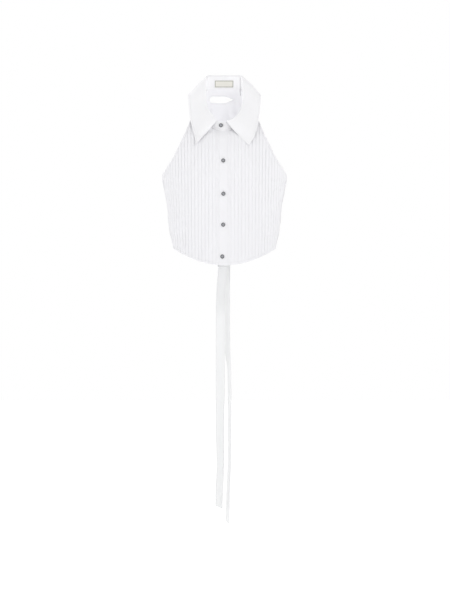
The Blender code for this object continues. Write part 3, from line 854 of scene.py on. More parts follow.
def backPlain(angle, z):
    angle, z = np.broadcast_arrays(np.asarray(angle, float), np.asarray(z, float))
    x = atHeight(backForm, "halfWidth", z) * np.sin(angle)
    y = atHeight(backForm, "depth", z) * np.cos(angle)
    return np.stack([x, y, z], axis=-1)


def backFacing(angle, z):
    return facingOf(backPlain, angle, z, backSoft["angleStep"], 1)


def backRelief(angle, z):
    x = atHeight(backForm, "halfWidth", z) * np.sin(angle)
    fromBand = z - tie["bandHeight"]
    pressed = 1 - backSoft["press"] * bell(fromBand, backSoft["pressReach"])
    folds = backSoft["creases"] * creased(backCreases, x, z) + backSoft["drift"] * wobble(41, x * 20, z * 14)
    most = np.where(np.abs(fromBand) < backSoft["under"], backSoft["mostUnder"], 1.0)
    return np.minimum(folds * pressed, most)


def backAt(angle, z, lift):
    return backPlain(angle, z) + backFacing(angle, z) * (backRelief(angle, z) + lift)[..., None]


def creaseDepth(x, z):
    ends = smoothStep((z - cornerCrease["low"]) / cornerCrease["fade"])
    ends = ends * smoothStep((cornerCrease["high"] - z) / cornerCrease["fade"])
    return cornerCrease["depth"] * ends * bell(x - cornerCrease["across"], cornerCrease["width"])


def backGrid():
    top = collarBack["seamZ"][0] * mm - cloth["neckClear"]
    above = top + (bodice["bustHeight"] - top) * np.linspace(0, 1, bodice["backRowsAbove"])**1.25
    share = np.linspace(-1, 1, bodice["backColumns"])
    upper = backAngle(atHeight(backForm, "edge", above), above)[:, None] * share
    lower = np.broadcast_to(math.pi / 2 * share, (bodice["backRowsBelow"], len(share)))
    hem = hemHeight(bodice["sideHemHalfWidth"] * np.sin(lower), bodice["backHemHeight"])
    steps = np.linspace(0, 1, bodice["backRowsBelow"] + 1)[1:, None]
    below = bodice["bustHeight"] + (hem - bodice["bustHeight"]) * steps
    return np.vstack([upper, lower]), np.vstack([np.broadcast_to(above[:, None], upper.shape), below])


# The keyhole's edge, moved away from its middle.
def keyholeRing(grow, count):
    line = np.array(keyhole["outline"], float)
    dense = through(np.vstack([line, line[:1]]), count + 1)[:-1] * mm
    return dense + unit(dense - np.array(keyhole["middle"]) * mm) * grow


def onKeyhole(ring, lift):
    return backAt(backAngle(ring[:, 0], ring[:, 1]), ring[:, 1], lift)


def cutKeyhole(panel):
    outline = keyholeRing(0.0, 72)
    count = len(outline)
    points = [(x, y, z) for y in (keyhole["cutFrom"], keyhole["cutTo"]) for x, z in outline]
    faces = [tuple(range(count)), tuple(reversed(range(count, 2 * count)))]
    faces += [(i, i + count, (i + 1) % count + count, (i + 1) % count) for i in range(count)]
    cutOut(panel, finishMesh("keyholeCutter", points, faces, cotton), 42)


# The narrow binding turned over the keyhole's raw edge.
def bindKeyhole():
    ring = keyholeRing(keyhole["bindingOut"], 120)
    path = onKeyhole(np.vstack([ring, ring[:2]]), -cloth["wall"] / 2)
    points, faces = tube(path, keyhole["binding"], 10)
    binding = finishMesh("keyholeBinding", points, faces, cotton, points[:, ::2])
    settle(binding)


def buildBack():
    angle, z = backGrid()
    fade = smoothStep((1 - np.abs(np.linspace(-1, 1, bodice["backColumns"]))) / backSoft["edgeFade"])
    out = backFacing(angle, z)
    outer = backPlain(angle, z) + out * (backRelief(angle, z) * fade)[..., None]
    inner = outer - out * cloth["wall"]
    for grid in (outer, inner):
        grid[..., 1] = np.maximum(grid[..., 1], cloth["seamGap"] / 2) + creaseDepth(grid[..., 0], z)
    panel = wall("back", outer, inner, np.stack([outer[..., 0], z], axis=-1), cotton)
    cutKeyhole(panel)
    settle(panel, ["back_panel"])
    lift = stitchLift["back"]
    hemAngles = np.linspace(-1.52, 1.52, 240)
    hem = hemHeight(bodice["sideHemHalfWidth"] * np.sin(hemAngles), bodice["backHemHeight"])
    stitchLines.append(backAt(hemAngles, hem + stitchInset["hem"], lift))
    heights = np.linspace(-12 * mm, -186 * mm, 90)
    edge = atHeight(backForm, "edge", heights) - stitchInset["armhole"]
    for sign in (-1, 1):
        stitchLines.append(backAt(sign * backAngle(edge, heights), heights, lift))
    for height in (lift, -cloth["wall"] - lift):
        stitchLines.append(onKeyhole(keyholeRing(stitchInset["keyhole"], 90), height))


buildBack()
bindKeyhole()
print("back made")


# Collar

collar = {
    "halfColumns": 192,
    "standRows": 14,
    "standBelowSeam": (-0.09, -0.05),
    "standDrift": 0.25 * mm,
    "standExtra": 0.2 * mm,
    "standStitchRow": 3.0,
    "standStitchFromTop": 2.2,
    "lapLift": 2.1 * mm,
    "lapStart": 136,
    "lapRun": 18,
    "standLean": 5.4 * mm,
    "rollRadius": 2.6 * mm,
    "rollTurns": (0, 22, 45, 68, 92, 116, 138, 160),
    "fallRows": 26,
    "fallWave": 1.6 * mm,
    "stitchInset": 5.5 * mm,
    "stitchDip": 0.28 * mm,
    "stitchDipRun": 1.3 * mm,
    "edgeRise": 0.22 * mm,
    "edgeRiseInset": 2 * mm,
    "edgeRiseRun": 1.6 * mm,
}


def neckLines(leftSide, ends, count):
    angle = through([[a] for a in collarBack["angle"] + tuple(end["angle"] for end in ends)], count)[:, 0]
    heightAngles = collarBack["angle"] + (rightPoint["angle"],)
    seamHeights = collarBack["seamZ"] + (rightPoint["seamZ"],)
    height = monotone(heightAngles, seamHeights, np.minimum(angle, 360 - angle)) * mm
    turn = np.radians(angle)
    seam = np.stack([cloth["neckRadius"] * np.sin(turn), cloth["neckRadius"] * np.cos(turn), height], axis=1)
    roll = through(collarBack["roll"] + tuple(end["roll"] for end in ends), count) * mm
    edge = through(collarBack["edge"] + tuple(end["edge"] for end in ends), count) * mm
    bulge = through([[b] for b in collarBack["bulge"] + tuple(end["bulge"] for end in ends)], count) * mm
    if leftSide:
        lift = collar["lapLift"] * smoothStep((angle - collar["lapStart"]) / collar["lapRun"])
        seam = seam + outward(seam) * lift[:, None]
        roll = roll + outward(roll) * lift[:, None]
        for line in (seam, roll, edge):
            line[:, 0] *= -1
    return seam, roll, edge, bulge


def roundTheNeck(leftEnds, rightEnds, count):
    left = neckLines(True, leftEnds, count)
    right = neckLines(False, rightEnds, count)
    return [np.vstack([a[::-1], b[1:]]) for a, b in zip(left, right)]


# Inner face of the stand at shares of its height; below nought it runs down over the neck seam.
def standLines(shares):
    seam, roll, _, _ = roundTheNeck((leftPoint, overEnd), (rightPoint, underEnd), collar["halfColumns"])
    return np.array([seam + (roll - seam) * share + np.array([0, 0, cloth["seamGap"]]) for share in shares])


def buildStand():
    shares = np.concatenate([collar["standBelowSeam"], np.linspace(0, 1, collar["standRows"])])
    inner = standLines(shares)
    away = np.array([outward(row) for row in inner])
    soft = collar["standDrift"] * wobble(51, inner[..., 0] * 40, inner[..., 2] * 40)
    outer = inner + away * (cloth["collarWall"] + collar["standExtra"] + soft * 0.5)[..., None]
    for grid in (outer, inner):
        grid[..., 1] += creaseDepth(inner[..., 0], grid[..., 2]) * (inner[..., 1] > 0)
    stand = wall("stand", outer, inner, gridUv(outer), collarCottonPaintedLight)
    settle(stand, ["collar_stand"])
    low, high = collar["standStitchRow"], len(shares) - collar["standStitchFromTop"]
    places = np.linspace(2, inner.shape[1] - 3, 260)
    lift = stitchLift["stand"]
    sewOn(outer, low, places, lift)
    sewOn(outer, high, places, lift)
    sewOn(inner, low, places, -lift)
    sewOn(outer, np.linspace(low, high, 12), 2.0, lift)


def fallGrid():
    seam, roll, edge, bulge = roundTheNeck((leftPoint,), (rightPoint,), collar["halfColumns"])
    up = unit(roll - seam)
    away = outward(roll)
    radius = collar["rollRadius"]
    start = roll + up * (2 * cloth["seamGap"])
    rows = []
    for turn in np.radians(collar["rollTurns"]):
        rows.append(start + away * radius * (1 - math.cos(turn)) + up * radius * math.sin(turn))
    over = start + away * 2 * radius
    span = edge - over
    face = unit(np.cross(span, np.gradient(roll, axis=0)))
    face = np.where(face[:, 2:3] < 0, -face, face)
    for share in np.linspace(0, 1, collar["fallRows"] + 1)[2:]:
        line = over + span * share + face * bulge * math.sin(math.pi * share)
        wave = collar["fallWave"] * share**2 * wobble(61, line[:, 0] * 16, line[:, 1] * 16)
        rows.append(line + face * wave[:, None])
    return np.array(rows), away


def buildFall():
    outer, away = fallGrid()
    rows, columns = outer.shape[:2]
    out = unit(np.cross(np.gradient(outer, axis=1), np.gradient(outer, axis=0)))
    if out[rows // 2, collar["halfColumns"], 1] < 0:
        out = -out
    out[0] = -away
    inner = outer - out * cloth["collarWall"]
    first = len(collar["rollTurns"])
    perRow = np.linalg.norm(outer[-1] - outer[first], axis=1) / (rows - 1 - first)
    fromEdge = (rows - 1 - np.arange(rows)[:, None]) * perRow
    rise = collar["edgeRise"] * bell(fromEdge - collar["edgeRiseInset"], collar["edgeRiseRun"])
    rise = rise - collar["stitchDip"] * bell(fromEdge - collar["stitchInset"], collar["stitchDipRun"])
    outer = outer + out * rise[..., None]
    fall = wall("fall", outer, inner, gridUv(outer), collarCottonPaintedLight)
    settle(fall, ["collar_fall"])

    def sewn(row, place):
        stitchLines.append(sample(outer, row, place) + sample(out, row, place) * stitchLift["fall"])

    last = columns - 1
    ends = []
    for place, toward in ((0, 1), (last, -1)):
        width = np.linalg.norm(outer[-1, place] - outer[-1, place + toward * 6]) / 6
        ends.append(place + toward * collar["stitchInset"] / max(width, 1e-5))
    places = np.linspace(ends[0], ends[1], 420)
    sewn(rows - 1 - collar["stitchInset"] / np.interp(places, np.arange(columns), perRow), places)
    for end, base in zip(ends, (0, last)):
        near = int(np.clip(round(end), 0, last))
        upRows = np.linspace(first + 1, rows - 1 - collar["stitchInset"] / perRow[near], 40)
        sewn(upRows, base + (end - base) * np.linspace(0.55, 1, 40))


buildStand()
buildFall()
print("collar made")


# Bare woven label at the back of the neck

label = {
    "centre": -1.2 * mm,
    "width": 52.5 * mm,
    "low": 0.06,
    "high": 0.64,
    "wall": 0.7 * mm,
    "gap": 0.35 * mm,
    "puff": 0.3 * mm,
    "columns": 31,
    "rows": 13,
    "stitchIn": 0.3,
    "ground": (0.75, 0.737, 0.68),
    "border": (0.15, 0.145, 0.11),
    "borderWidth": 0.9 * mm,
}


# Woven damask tape, bare, with a thin darker border and fine ribs.
def makeLabelCloth(name, width, height):
    ground = label["ground"]
    made, shader, place = newMaterial(name, ground, {"Sheen Weight": 0.25, "Specular IOR Level": 0.4})
    across, up = clothLengths(place)
    fromSide = (across - width / 2).maths("ABSOLUTE")
    fromMiddle = (up - height / 2).maths("ABSOLUTE")

    def outside(inset):
        return (fromSide > width / 2 - inset).maths("MAXIMUM", fromMiddle > height / 2 - inset)

    band = outside(2 * label["borderWidth"]) - outside(0.7 * label["borderWidth"])
    rib = (up * 5200.0).maths("SINE") * 0.5 + 0.5
    colour = band.mixed((rib * 0.35).mixed(ground, darker(ground, 0.78)), label["border"])
    feed(shader, Base_Color=colour, Roughness=rib * 0.1 + 0.55, Normal=rib.bump(0.2))
    return made


def buildLabel():
    half = collar["halfColumns"]
    back = slice(half // 2, 3 * half // 2)
    reach = label["width"] / 2
    picked = np.linspace(label["centre"] - reach, label["centre"] + reach, label["columns"])
    rows = []
    for line in standLines(np.linspace(label["low"], label["high"], label["rows"])):
        rows.append(np.stack([np.interp(picked, line[back, 0], line[back, i]) for i in range(3)], axis=1))
    plain = np.array(rows)
    away = np.array([outward(row) for row in plain])
    puff = label["puff"] * wobble(71, plain[..., 0] * 60, plain[..., 2] * 60)
    middle = label["columns"] // 2
    height = float(np.linalg.norm(plain[-1, middle] - plain[0, middle]))
    near = plain - away * label["gap"]
    far = plain - away * (label["gap"] + label["wall"] + np.abs(puff))[..., None]
    uv = gridUv(plain)
    made = wall("label", far, near, uv, makeLabelCloth("bareLabel", float(uv[..., 0].max()), height))
    settle(made, ["neck_label"])
    for place in (label["stitchIn"], label["columns"] - 1 - label["stitchIn"]):
        sewOn(far, np.arange(1, label["rows"] - 1), place, -stitchLift["label"])


buildLabel()
print("label made")


# Buttons and buttonholes

buttonSizes = {
    "radius": 5.7 * mm,
    "thick": 2.6 * mm,
    "lift": 0.35 * mm,
    "sides": 48,
    "hole": 0.75 * mm,
    "holePlace": 1.215 * mm,
    "threadShifts": (-0.22 * mm, 0.0, 0.22 * mm),
    "threadRadius": 0.17 * mm,
    "threadHeight": 0.70,
    "threadArch": 0.30 * mm,
    "threadDive": 1.5 * mm,
}
# Each button: across and height in millimetres, and turn in degrees.
buttonPlaces = {
    "button_stand": (-9.0, -46.5, 8),
    "button_1": (-3.4, -145.6, 4),
    "button_2": (-3.0, -237.7, -7),
    "button_3": (-3.6, -324.2, 11),
    "button_4": (-6.0, -413.3, -3),
}
# Turned profile: share of the radius, share of the thickness.
buttonProfile = (
    (0.0, 0.0), (0.80, 0.0), (0.93, 0.12), (0.99, 0.32), (1.0, 0.55), (0.975, 0.80), (0.92, 0.95),
    (0.84, 1.0), (0.77, 0.96), (0.71, 0.84), (0.64, 0.74), (0.50, 0.70), (0.25, 0.69), (0.0, 0.69),
)
buttonhole = {"half": 7.4 * mm, "gap": 0.8 * mm, "bar": 0.96 * mm, "cord": 0.34 * mm, "barCord": 0.425 * mm}


def buttonBase(name, x, z):
    if name == "button_stand":
        away = unit(np.array([x, -cloth["neckRadius"], 0.0]))
        share = (z - rightPoint["seamZ"] * mm) / ((rightPoint["roll"][2] - rightPoint["seamZ"]) * mm)
        radius = cloth["neckRadius"] + collar["lapLift"] + collar["standLean"] * share + cloth["collarWall"]
        return away * radius + np.array([0, 0, z]), away
    out = frontFacing(1, np.array(x), np.array(z))
    return frontPlain(1, np.array(x), np.array(z)) + out * placket["proud"], out


# Points and faces of a turned solid about its own third axis.
def turned(profile, sides):
    points = [(0, 0, profile[0][1])]
    for radius, depth in profile[1:-1]:
        for k in range(sides):
            turn = 2 * math.pi * k / sides
            points.append((radius * math.cos(turn), radius * math.sin(turn), depth))
    points.append((0, 0, profile[-1][1]))
    return np.array(points, float), roundFaces(len(profile) - 2, sides)


def buildButton(name, x, z, turnDegrees):
    base, out = buttonBase(name, x * mm, z * mm)
    side = unit(np.cross(out, np.array([0, 0, 1.0])))
    up = np.cross(side, out)
    turn = math.radians(turnDegrees + 45)
    cos, sin = math.cos(turn), math.sin(turn)
    axes = np.array([side * cos + up * sin, up * cos - side * sin, out])
    base = base + out * buttonSizes["lift"]
    pieceName = name.replace("_", "")
    points, faces = turned(buttonProfile, buttonSizes["sides"])
    uv = np.stack([np.hypot(points[:, 0], points[:, 1]), points[:, 2]], axis=1)
    scaled = points * np.array([buttonSizes["radius"], buttonSizes["radius"], buttonSizes["thick"]])
    disc = finishMesh(pieceName + "Disc", base + scaled @ axes, faces, shell, uv, 50)
    reach = buttonSizes["holePlace"]
    drills = []
    for dx, dy in ((1, 1), (1, -1), (-1, 1), (-1, -1)):
        path = [(dx * reach, dy * reach, height * mm) for height in (-1.0, 1.0, 3.0)]
        drills.append(tube(path, buttonSizes["hole"], 12))
    points, faces = joined(drills)
    cutOut(disc, finishMesh("buttonDrill", base + points @ axes, faces, shell), 35)
    settle(disc, [name])
    top = buttonSizes["thick"] * buttonSizes["threadHeight"]
    steps = np.linspace(-1, 1, 9)
    arch = top + buttonSizes["threadArch"] - buttonSizes["threadDive"] * steps**6
    threads = []
    for sign in (-1, 1):
        for shift in buttonSizes["threadShifts"]:
            path = np.stack([np.full(9, sign * reach + shift), steps * reach, arch], axis=1)
            threads.append(tube(path, buttonSizes["threadRadius"], 6))
    points, faces = joined(threads)
    settle(finishMesh(pieceName + "Thread", base + points @ axes, faces, buttonThread))


# Worked edges of the buttonholes: upright on the placket, level on the stand.
def buildButtonholes():
    parts = []
    steps = np.linspace(-1, 1, 21) * buttonhole["half"]
    bar = np.linspace(-1, 1, 5) * buttonhole["bar"]
    gap = buttonhole["gap"]
    runs = [(steps, np.full(21, aside), buttonhole["cord"]) for aside in (-gap, gap)]
    runs += [(np.full(5, end), bar, buttonhole["barCord"]) for end in (steps[0], steps[-1])]
    for name, (x, z, _) in buttonPlaces.items():
        for along, aside, radius in runs:
            if name == "button_stand":
                path = [buttonBase(name, x * mm + a, z * mm + b)[0] for a, b in zip(along, aside)]
            else:
                path = placketAt(x * mm + aside, z * mm + along, stitchLift["placket"])
            parts.append(tube(path, radius, 6))
    points, faces = joined(parts)
    settle(finishMesh("buttonholes", points, faces, thread))


for name, (x, z, turnDegrees) in buttonPlaces.items():
    buildButton(name, x, z, turnDegrees)
buildButtonholes()
print("buttons made")


# Waist ties

# The wrapped knot: its two bunched ends, as shares of its half size, and the turn of tie over them.
knot = {
    "centre": (0.0, 97.5 * mm, -352 * mm),
    "half": (19 * mm, 13 * mm, 17 * mm),
    "endSize": (0.54, 0.74, 0.62),
    "endShift": (8.5 * mm, 0.5 * mm, 1.2 * mm),
    "endRoundness": 0.7,
    "squareness": 0.85,
    "broadFold": 0.07,
    "fineFold": 0.05,
    "wrapHalfWidth": 8.6 * mm,
    "wrapSway": 2.2 * mm,
    "wrapDepth": 0.93,
    "wrapHeight": 0.95,
    "wrapSqueeze": 0.10,
    "wrapInside": (1, 0.86, 0.88),
    "broadTuck": 0.5 * mm,
    "fineTuck": 0.35 * mm,
}
# Band from the side seam to the knot: angle from the side, lift, half height, drop.
band = (
    (3, 0.35, 14, 0), (20, 0.35, 14, 0), (40, 0.5, 13.5, 0), (58, 1.0, 12.5, 1),
    (70, 4, 11, 1.5), (77, 9, 9, 2), (83.1, 14.6, 7.5, 2),
)
bandShape = {"rows": 110, "columns": 17, "foldFrom": 50, "foldOver": 30, "fold": 1.3 * mm, "drift": 0.3 * mm,
             "stitchColumns": (1.2, 14.8)}
# Tails: height, across, depth, turn in degrees, share of the width.
tails = {
    "tie_tail_left": (
        (-354, -2, 97, 2, 0.3), (-362, -4, 96, 6, 0.42), (-372, -5, 94.5, 8, 0.54),
        (-400, -4, 94, 10, 0.8), (-442, -4, 96, 18, 1.0), (-515, -10, 99, 27, 1.0),
        (-600, -11.5, 104, 24, 1.0), (-703, -11, 104, 27, 1.0), (-800, -11.5, 105, 30, 1.0),
        (-888, -12.5, 105, 36, 1.0), (-960, -11.5, 104, 42, 1.0), (-1002, -11, 104, 46, 1.0),
        (-1053, -13.5, 104, 44, 1.0), (-1116, -15, 104, 50, 1.0),
    ),
    "tie_tail_right": (
        (-354, 2, 98, -2, 0.3), (-362, 4, 100, -5, 0.42), (-372, 5, 102.5, -9, 0.54),
        (-400, 5, 107, -20, 0.8), (-442, 4, 114, -36, 1.0), (-515, 5, 119, -46, 1.0),
        (-600, 6, 120, -50, 1.0), (-660, 6.8, 120, -55, 1.0), (-695, 9.5, 120, -60, 1.0),
        (-725, 12.6, 120, -66, 1.0), (-770, 13.8, 120, -69, 1.0), (-888, 13.8, 120, -70, 1.0),
        (-1002, 13.2, 121, -72, 1.0), (-1080, 9.6, 121, -72, 1.0), (-1160, 7.6, 121, -72, 1.0),
    ),
}
# Rises and heights in millimetres; the stitches stand out by a share of the cloth's thickness.
tailShape = {
    "rows": 430,
    "columns": 15,
    "cup": 0.8,
    "gather": 1.4,
    "gatherFrom": -460,
    "gatherOver": 90,
    "soft": 0.55,
    "wander": 0.9,
    "stitchColumns": (1.1, 12.9),
    "stitchOut": 0.1,
}
# Folds pressed across a tail: height, reach, rise, the edge that they start from, and slant.
tailFolds = {
    "tie_tail_left": (
        (-438.5, 2.4, 8.0, -1, 0), (-1003, 4, 1.5, 1, 5), (-700, 16, 1.1, -1, 6), (-830, 20, 0.9, 1, 6),
        (-560, 18, 1.0, 1, 6),
    ),
    "tie_tail_right": ((-640, 18, 1.2, 1, 6), (-930, 14, 1.1, -1, 6), (-1110, 9, 1.0, 1, 6)),
}


def buildBand(name, node, side):
    columns = np.linspace(-1, 1, bandShape["columns"])
    outer, inner = [], []
    for angle, lift, half, drop in through(band, bandShape["rows"]):
        middle = np.full(len(columns), math.pi / 2 - math.radians(angle))
        z = tie["bandHeight"] - drop * mm + columns * half * mm
        out = outward(backFacing(middle, z))
        near = smoothStep((angle - bandShape["foldFrom"]) / bandShape["foldOver"])
        waves = np.cos(columns * 9 + side) * 0.6 + np.cos(columns * 4.1 + angle * 0.05)
        fold = near * bandShape["fold"] * waves
        soft = bandShape["drift"] * (1 + wobble(81 + side, columns * 1.3, angle * 0.06))
        base = backPlain(middle, z) + out * (lift * mm + np.abs(fold) + soft)[:, None]
        tip = base + out * tie["wall"]
        for line in (base, tip):
            line[:, 0] *= side
        inner.append(base)
        outer.append(tip)
    outer, inner = np.array(outer), np.array(inner)
    made = wall(name, outer, inner, gridUv(outer), tieCottonPaintedShade)
    settle(made, [node])
    for column in bandShape["stitchColumns"]:
        sewOn(outer, np.linspace(1, bandShape["rows"] - 2, 120), column, stitchLift["band"])


def buildTail(name, node, seed):
    columns = np.linspace(-1, 1, tailShape["columns"])
    rows = through(tails[node], tailShape["rows"])
    outer, inner = [], []
    for height, x, y, turn, share in rows:
        angle = math.radians(turn)
        across = np.array([math.cos(angle), math.sin(angle), 0.0])
        facing = np.array([-math.sin(angle), math.cos(angle), 0.0])
        gather = smoothStep((height - tailShape["gatherFrom"]) / tailShape["gatherOver"])
        relief = tailShape["cup"] * (1 - columns**2) + gather * tailShape["gather"] * np.cos(columns * 7.5)
        relief = relief + tailShape["soft"] * wobble(seed, columns * 0.8, height * 0.018)
        relief = relief + tailShape["wander"] * wobble(seed + 5, columns * 0.2, height * 0.006)
        for place, reach, rise, start, slant in tailFolds[node]:
            lean = height - place + slant * start * columns
            relief = relief + rise * bell(lean, reach) * (0.5 + 0.5 * start * columns)
        centre = np.array([x, y, height]) * mm
        aside = columns * share * tie["width"] / 2
        point = centre + across * aside[:, None] + facing * (relief * mm)[:, None]
        inner.append(point)
        outer.append(point + facing * tie["wall"])
    outer, inner = np.array(outer), np.array(inner)
    fade = np.exp(-np.arange(len(rows))[::-1] / 9.0)[:, None]
    for grid in (outer, inner):
        grid[..., 2] -= tie["slant"] * columns * 0.5 * fade
    made = wall(name, outer, inner, gridUv(outer), tieCottonPaintedShade)
    settle(made, [node])
    track = np.linspace(1, len(rows) - 4, 560)
    for column in tailShape["stitchColumns"]:
        near, far = sample(inner, track, column), sample(outer, track, column)
        stitchLines.append(near + (near - far) * tailShape["stitchOut"])
        stitchLines.append(far + (far - near) * tailShape["stitchOut"])


def squared(value):
    return math.copysign(abs(value)**knot["squareness"], value)


# A bunched end of tie: a soft rounded lump with fold ridges running round it.
def lump(centre, half, sign, sides=56, rings=36):
    points = [centre + half * np.array([0, 0, -1.0])]
    for k in range(1, rings):
        rise = -math.pi / 2 + math.pi * k / rings
        flat = abs(math.cos(rise))**knot["endRoundness"]
        height = squared(math.sin(rise))
        for j in range(sides):
            turn = 2 * math.pi * j / sides
            spot = np.array([flat * squared(math.cos(turn)), flat * squared(math.sin(turn)), height])
            fold = knot["broadFold"] * math.cos(9 * height + 2.2 * sign) * (1 - abs(spot[0]))
            fold += knot["fineFold"] * math.cos(15 * height + sign)
            points.append(centre + half * spot * (1 + fold))
    points.append(centre + half * np.array([0, 0, 1.0]))
    return np.array(points), roundFaces(rings - 1, sides)


# One turn of flat tie, bunched in folds, wrapped level round the knot.
def wrap(centre, half, turns=96, widths=13):
    outer = []
    for k in range(turns):
        angle = 2 * math.pi * k / turns
        for w in np.linspace(-1, 1, widths):
            tuck = knot["broadTuck"] * math.cos(w * 8.5 + 1.1 * math.sin(angle))
            tuck += knot["fineTuck"] * math.cos(w * 14 + 2 * angle)
            squeeze = 1 - knot["wrapSqueeze"] * w * w
            reachY = (half[1] * knot["wrapDepth"] + tuck) * squeeze
            reachZ = (half[2] * knot["wrapHeight"] + tuck) * squeeze
            x = w * knot["wrapHalfWidth"] + knot["wrapSway"] * math.sin(angle)
            outer.append(centre + np.array([x, reachY * math.cos(angle), reachZ * math.sin(angle)]))
    inner = centre + (np.array(outer) - centre) * knot["wrapInside"]
    size = turns * widths
    faces = []
    for k in range(turns):
        here, there = k * widths, (k + 1) % turns * widths
        for a, b in zip(range(here, here + widths - 1), range(there, there + widths - 1)):
            faces.append((a, a + 1, b + 1, b))
            faces.append((size + a, size + b, size + b + 1, size + a + 1))
        for w in (0, widths - 1):
            faces.append((here + w, there + w, size + there + w, size + here + w))
    return np.vstack([outer, inner]), faces


# Two flat ties pulled tight: bunched ends on either side of one turn that wraps over them.
def buildKnot():
    centre = np.array(knot["centre"])
    half = np.array(knot["half"])
    parts = []
    for sign in (-1, 1):
        shift = np.array([sign, 1, sign]) * knot["endShift"]
        parts.append(lump(centre + shift, half * knot["endSize"], sign))
    parts.append(wrap(centre, half))
    points, faces = joined(parts)
    uv = np.stack([points[:, 0] + points[:, 1], points[:, 2]], axis=1)
    settle(finishMesh("knot", points, faces, tieCottonPaintedShade, uv, 60), ["tie_knot"])


buildBand("waistTieLeft", "waist_tie_left", -1)
buildBand("waistTieRight", "waist_tie_right", 1)
buildTail("tieTailLeft", "tie_tail_left", 91)
buildTail("tieTailRight", "tie_tail_right", 97)
buildKnot()
print("ties made")


# Stitches, by Geometry Nodes along every sewn line

stitchSizes = {"Stitch Length": 2.1 * mm, "Stitch Spacing": 2.8 * mm, "Thread Radius": 0.24 * mm}
stitchNodes = {
    "source": "NodeGroupInput",
    "points": "GeometryNodeCurveToPoints",
    "halfLength": "ShaderNodeMath",
    "size": "ShaderNodeCombineXYZ",
    "ball": "GeometryNodeMeshUVSphere",
    "stitch": "GeometryNodeTransform",
    "place": "GeometryNodeInstanceOnPoints",
    "real": "GeometryNodeRealizeInstances",
    "paint": "GeometryNodeSetMaterial",
    "result": "NodeGroupOutput",
}
stitchLinks = (
    ("source", "Geometry", "points", "Curve"),
    ("source", "Stitch Spacing", "points", "Length"),
    ("source", "Stitch Length", "halfLength", 0),
    ("source", "Thread Radius", "size", 0),
    ("source", "Thread Radius", "size", 1),
    ("halfLength", 0, "size", 2),
    ("ball", "Mesh", "stitch", "Geometry"),
    ("size", 0, "stitch", "Scale"),
    ("points", "Points", "place", "Points"),
    ("points", "Rotation", "place", "Rotation"),
    ("stitch", "Geometry", "place", "Instance"),
    ("place", "Instances", "real", "Geometry"),
    ("real", "Geometry", "paint", "Geometry"),
    ("source", "Thread", "paint", "Material"),
    ("paint", "Geometry", "result", "Geometry"),
)


def stitchTree():
    tree = bpy.data.node_groups.new("sewingStitches", "GeometryNodeTree")
    newSocket = tree.interface.new_socket
    newSocket("Geometry", in_out="INPUT", socket_type="NodeSocketGeometry")
    for name, value in stitchSizes.items():
        newSocket(name, in_out="INPUT", socket_type="NodeSocketFloat").default_value = value
    newSocket("Thread", in_out="INPUT", socket_type="NodeSocketMaterial")
    newSocket("Geometry", in_out="OUTPUT", socket_type="NodeSocketGeometry")
    nodes = {name: tree.nodes.new(kind) for name, kind in stitchNodes.items()}
    nodes["points"].mode = "LENGTH"
    nodes["halfLength"].operation = "DIVIDE"
    nodes["halfLength"].inputs[1].default_value = 2.0
    for name, value in (("Segments", 6), ("Rings", 4), ("Radius", 1.0)):
        nodes["ball"].inputs[name].default_value = value
    for origin, output, target, slot in stitchLinks:
        tree.links.new(nodes[origin].outputs[output], nodes[target].inputs[slot])
    return tree


def buildStitches():
    data = bpy.data.curves.new("sewnLines", "CURVE")
    data.dimensions = "3D"
    for line in stitchLines:
        spline = data.splines.new("POLY")
        spline.points.add(len(line) - 1)
        spline.points.foreach_set("co", np.hstack([line, np.ones((len(line), 1))]).ravel())
    lines = added("sewnLines", data)
    tree = stitchTree()
    sew = lines.modifiers.new("stitches", "NODES")
    sew.node_group = tree
    sockets = {item.name: item.identifier for item in tree.interface.items_tree if item.in_out == "INPUT"}
    for name, value in {**stitchSizes, "Thread": thread}.items():
        sew[sockets[name]] = value
    graph = bpy.context.evaluated_depsgraph_get()
    mesh = bpy.data.meshes.new_from_object(lines.evaluated_get(graph))
    bpy.data.objects.remove(lines, do_unlink=True)
    mesh.shade_smooth()
    settle(added("stitches", mesh))
    print("stitches", len(mesh.polygons), "faces")


buildStitches()


# Studio: white all round, a pale floor and large soft lights from the front, the sides and behind

studio = {
    "horizon": 1.0,
    "zenith": 0.68,
    "greyFrom": 0.16,
    "greyTo": 0.85,
    "floorHeight": -1.24,
    "floorRadius": 60.0,
    "floorGlow": 0.93,
    "aim": (0, 0, -0.2),
    # Each soft light: place, size and power.
    "keys": (((2.3, -3.6, 2.7), 0.8, 38), ((-3.7, -2.2, 0.4), 1.5, 20), ((3.9, -1.2, 0.4), 1.5, 7),
             ((-0.5, -3.4, -1.0), 1.0, 3), ((-2.6, 3.4, 2.8), 1.2, 48)),
    # Inside the body and under the collar's ends: what daylight through thin cotton would add.
    "glow": (((0.0, -0.03, 0.055), 0.03, 0.014), ((-0.005, -0.03, -0.03), 0.02, 0.034),
             ((-0.02, -0.01, -0.16), 0.07, 0.06), ((0.0, 0.0, -0.30), 0.07, 0.13),
             ((-0.040, -0.062, -0.053), 0.004, 0.0007), ((0.030, -0.062, -0.058), 0.004, 0.0004)),
}
# The picture's frame: its size, the pixel of the origin, and the scale.
photo = {"width": 450, "height": 600, "mmPerPixel": 2.8, "centreX": 224.5, "neckY": 109, "distance": 40.0}


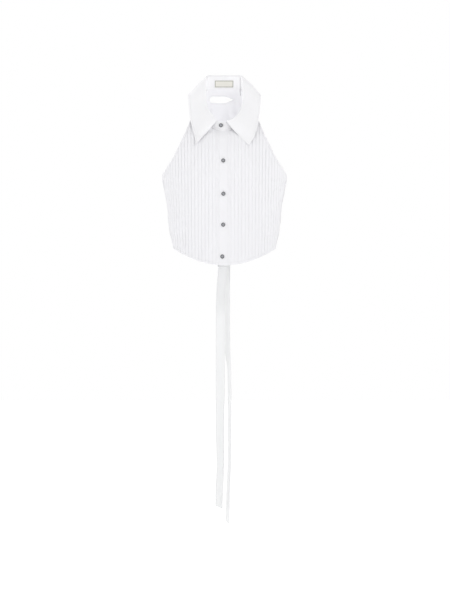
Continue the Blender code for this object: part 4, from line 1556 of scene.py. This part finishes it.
def makeFloor():
    fixed = {"Roughness": 0.9, "Emission Strength": studio["floorGlow"], "Emission Color": (1, 1, 1, 1)}
    made, shader, place = newMaterial("paleFloor", (1, 1, 1), fixed)
    feed(shader, Base_Color=place.noise(3.0).mixed((0.10, 0.10, 0.10), (0.09, 0.09, 0.09)))
    turn = np.linspace(0, 2 * math.pi, 96, endpoint=False)
    ring = np.stack([np.cos(turn), np.sin(turn), np.zeros(len(turn))], axis=1) * studio["floorRadius"]
    ring[:, 2] = studio["floorHeight"]
    mesh = bpy.data.meshes.new("floor")
    mesh.from_pydata(ring.tolist(), [], [tuple(range(len(turn)))])
    mesh.materials.append(made)
    added("floor", mesh)


# A white dome, bright round the horizon and greyer overhead, so that folds and edges keep some shade.
def makeWorld():
    world = bpy.data.worlds.new("studioDome")
    world.use_nodes = True
    direction = Sock(world.node_tree).node("ShaderNodeTexCoord", outputName="Generated")
    height = direction.node("ShaderNodeSeparateXYZ", outputName=2, i0=direction)
    limits = {"i1": studio["greyFrom"], "i2": studio["greyTo"]}
    share = height.node("ShaderNodeMapRange", {"interpolation_type": "SMOOTHSTEP"}, i0=height, **limits)
    tone = share.mixed((studio["horizon"],) * 3, (studio["zenith"],) * 3)
    feed(world.node_tree.nodes["Background"], Color=tone)
    bpy.context.scene.world = world


def addLight(name, kind, place, size, power):
    data = bpy.data.lights.new(name, kind)
    data.energy = power
    if kind == "AREA":
        data.shape = "DISK"
        data.size = size
    else:
        data.shadow_soft_size = size
    light = added(name, data)
    light.location = place
    light.rotation_euler = (Vector(studio["aim"]) - Vector(place)).to_track_quat("-Z", "Y").to_euler()
    light.visible_camera = False


def makeLights():
    for number, (place, size, power) in enumerate(studio["keys"]):
        addLight(f"key{number + 1}", "AREA", place, size, power)
    for number, (place, size, power) in enumerate(studio["glow"]):
        addLight(f"inner{number + 1}", "POINT", place, size, power)


def makeCamera():
    scale = photo["mmPerPixel"] * mm
    data = bpy.data.cameras.new("camera")
    data.sensor_fit = "AUTO"
    data.sensor_width = 36
    data.lens = data.sensor_width * photo["distance"] / (photo["height"] * scale)
    data.clip_end = 200
    camera = added("camera", data)
    x = (photo["width"] / 2 - photo["centreX"]) * scale
    z = (photo["neckY"] - photo["height"] / 2) * scale
    camera.location = (x, -photo["distance"], z)
    camera.rotation_euler = (math.pi / 2, 0, 0)
    bpy.context.scene.camera = camera


bpy.context.scene.view_settings.view_transform = "Standard"
makeFloor()
makeWorld()
makeLights()
makeCamera()
print("studio made")
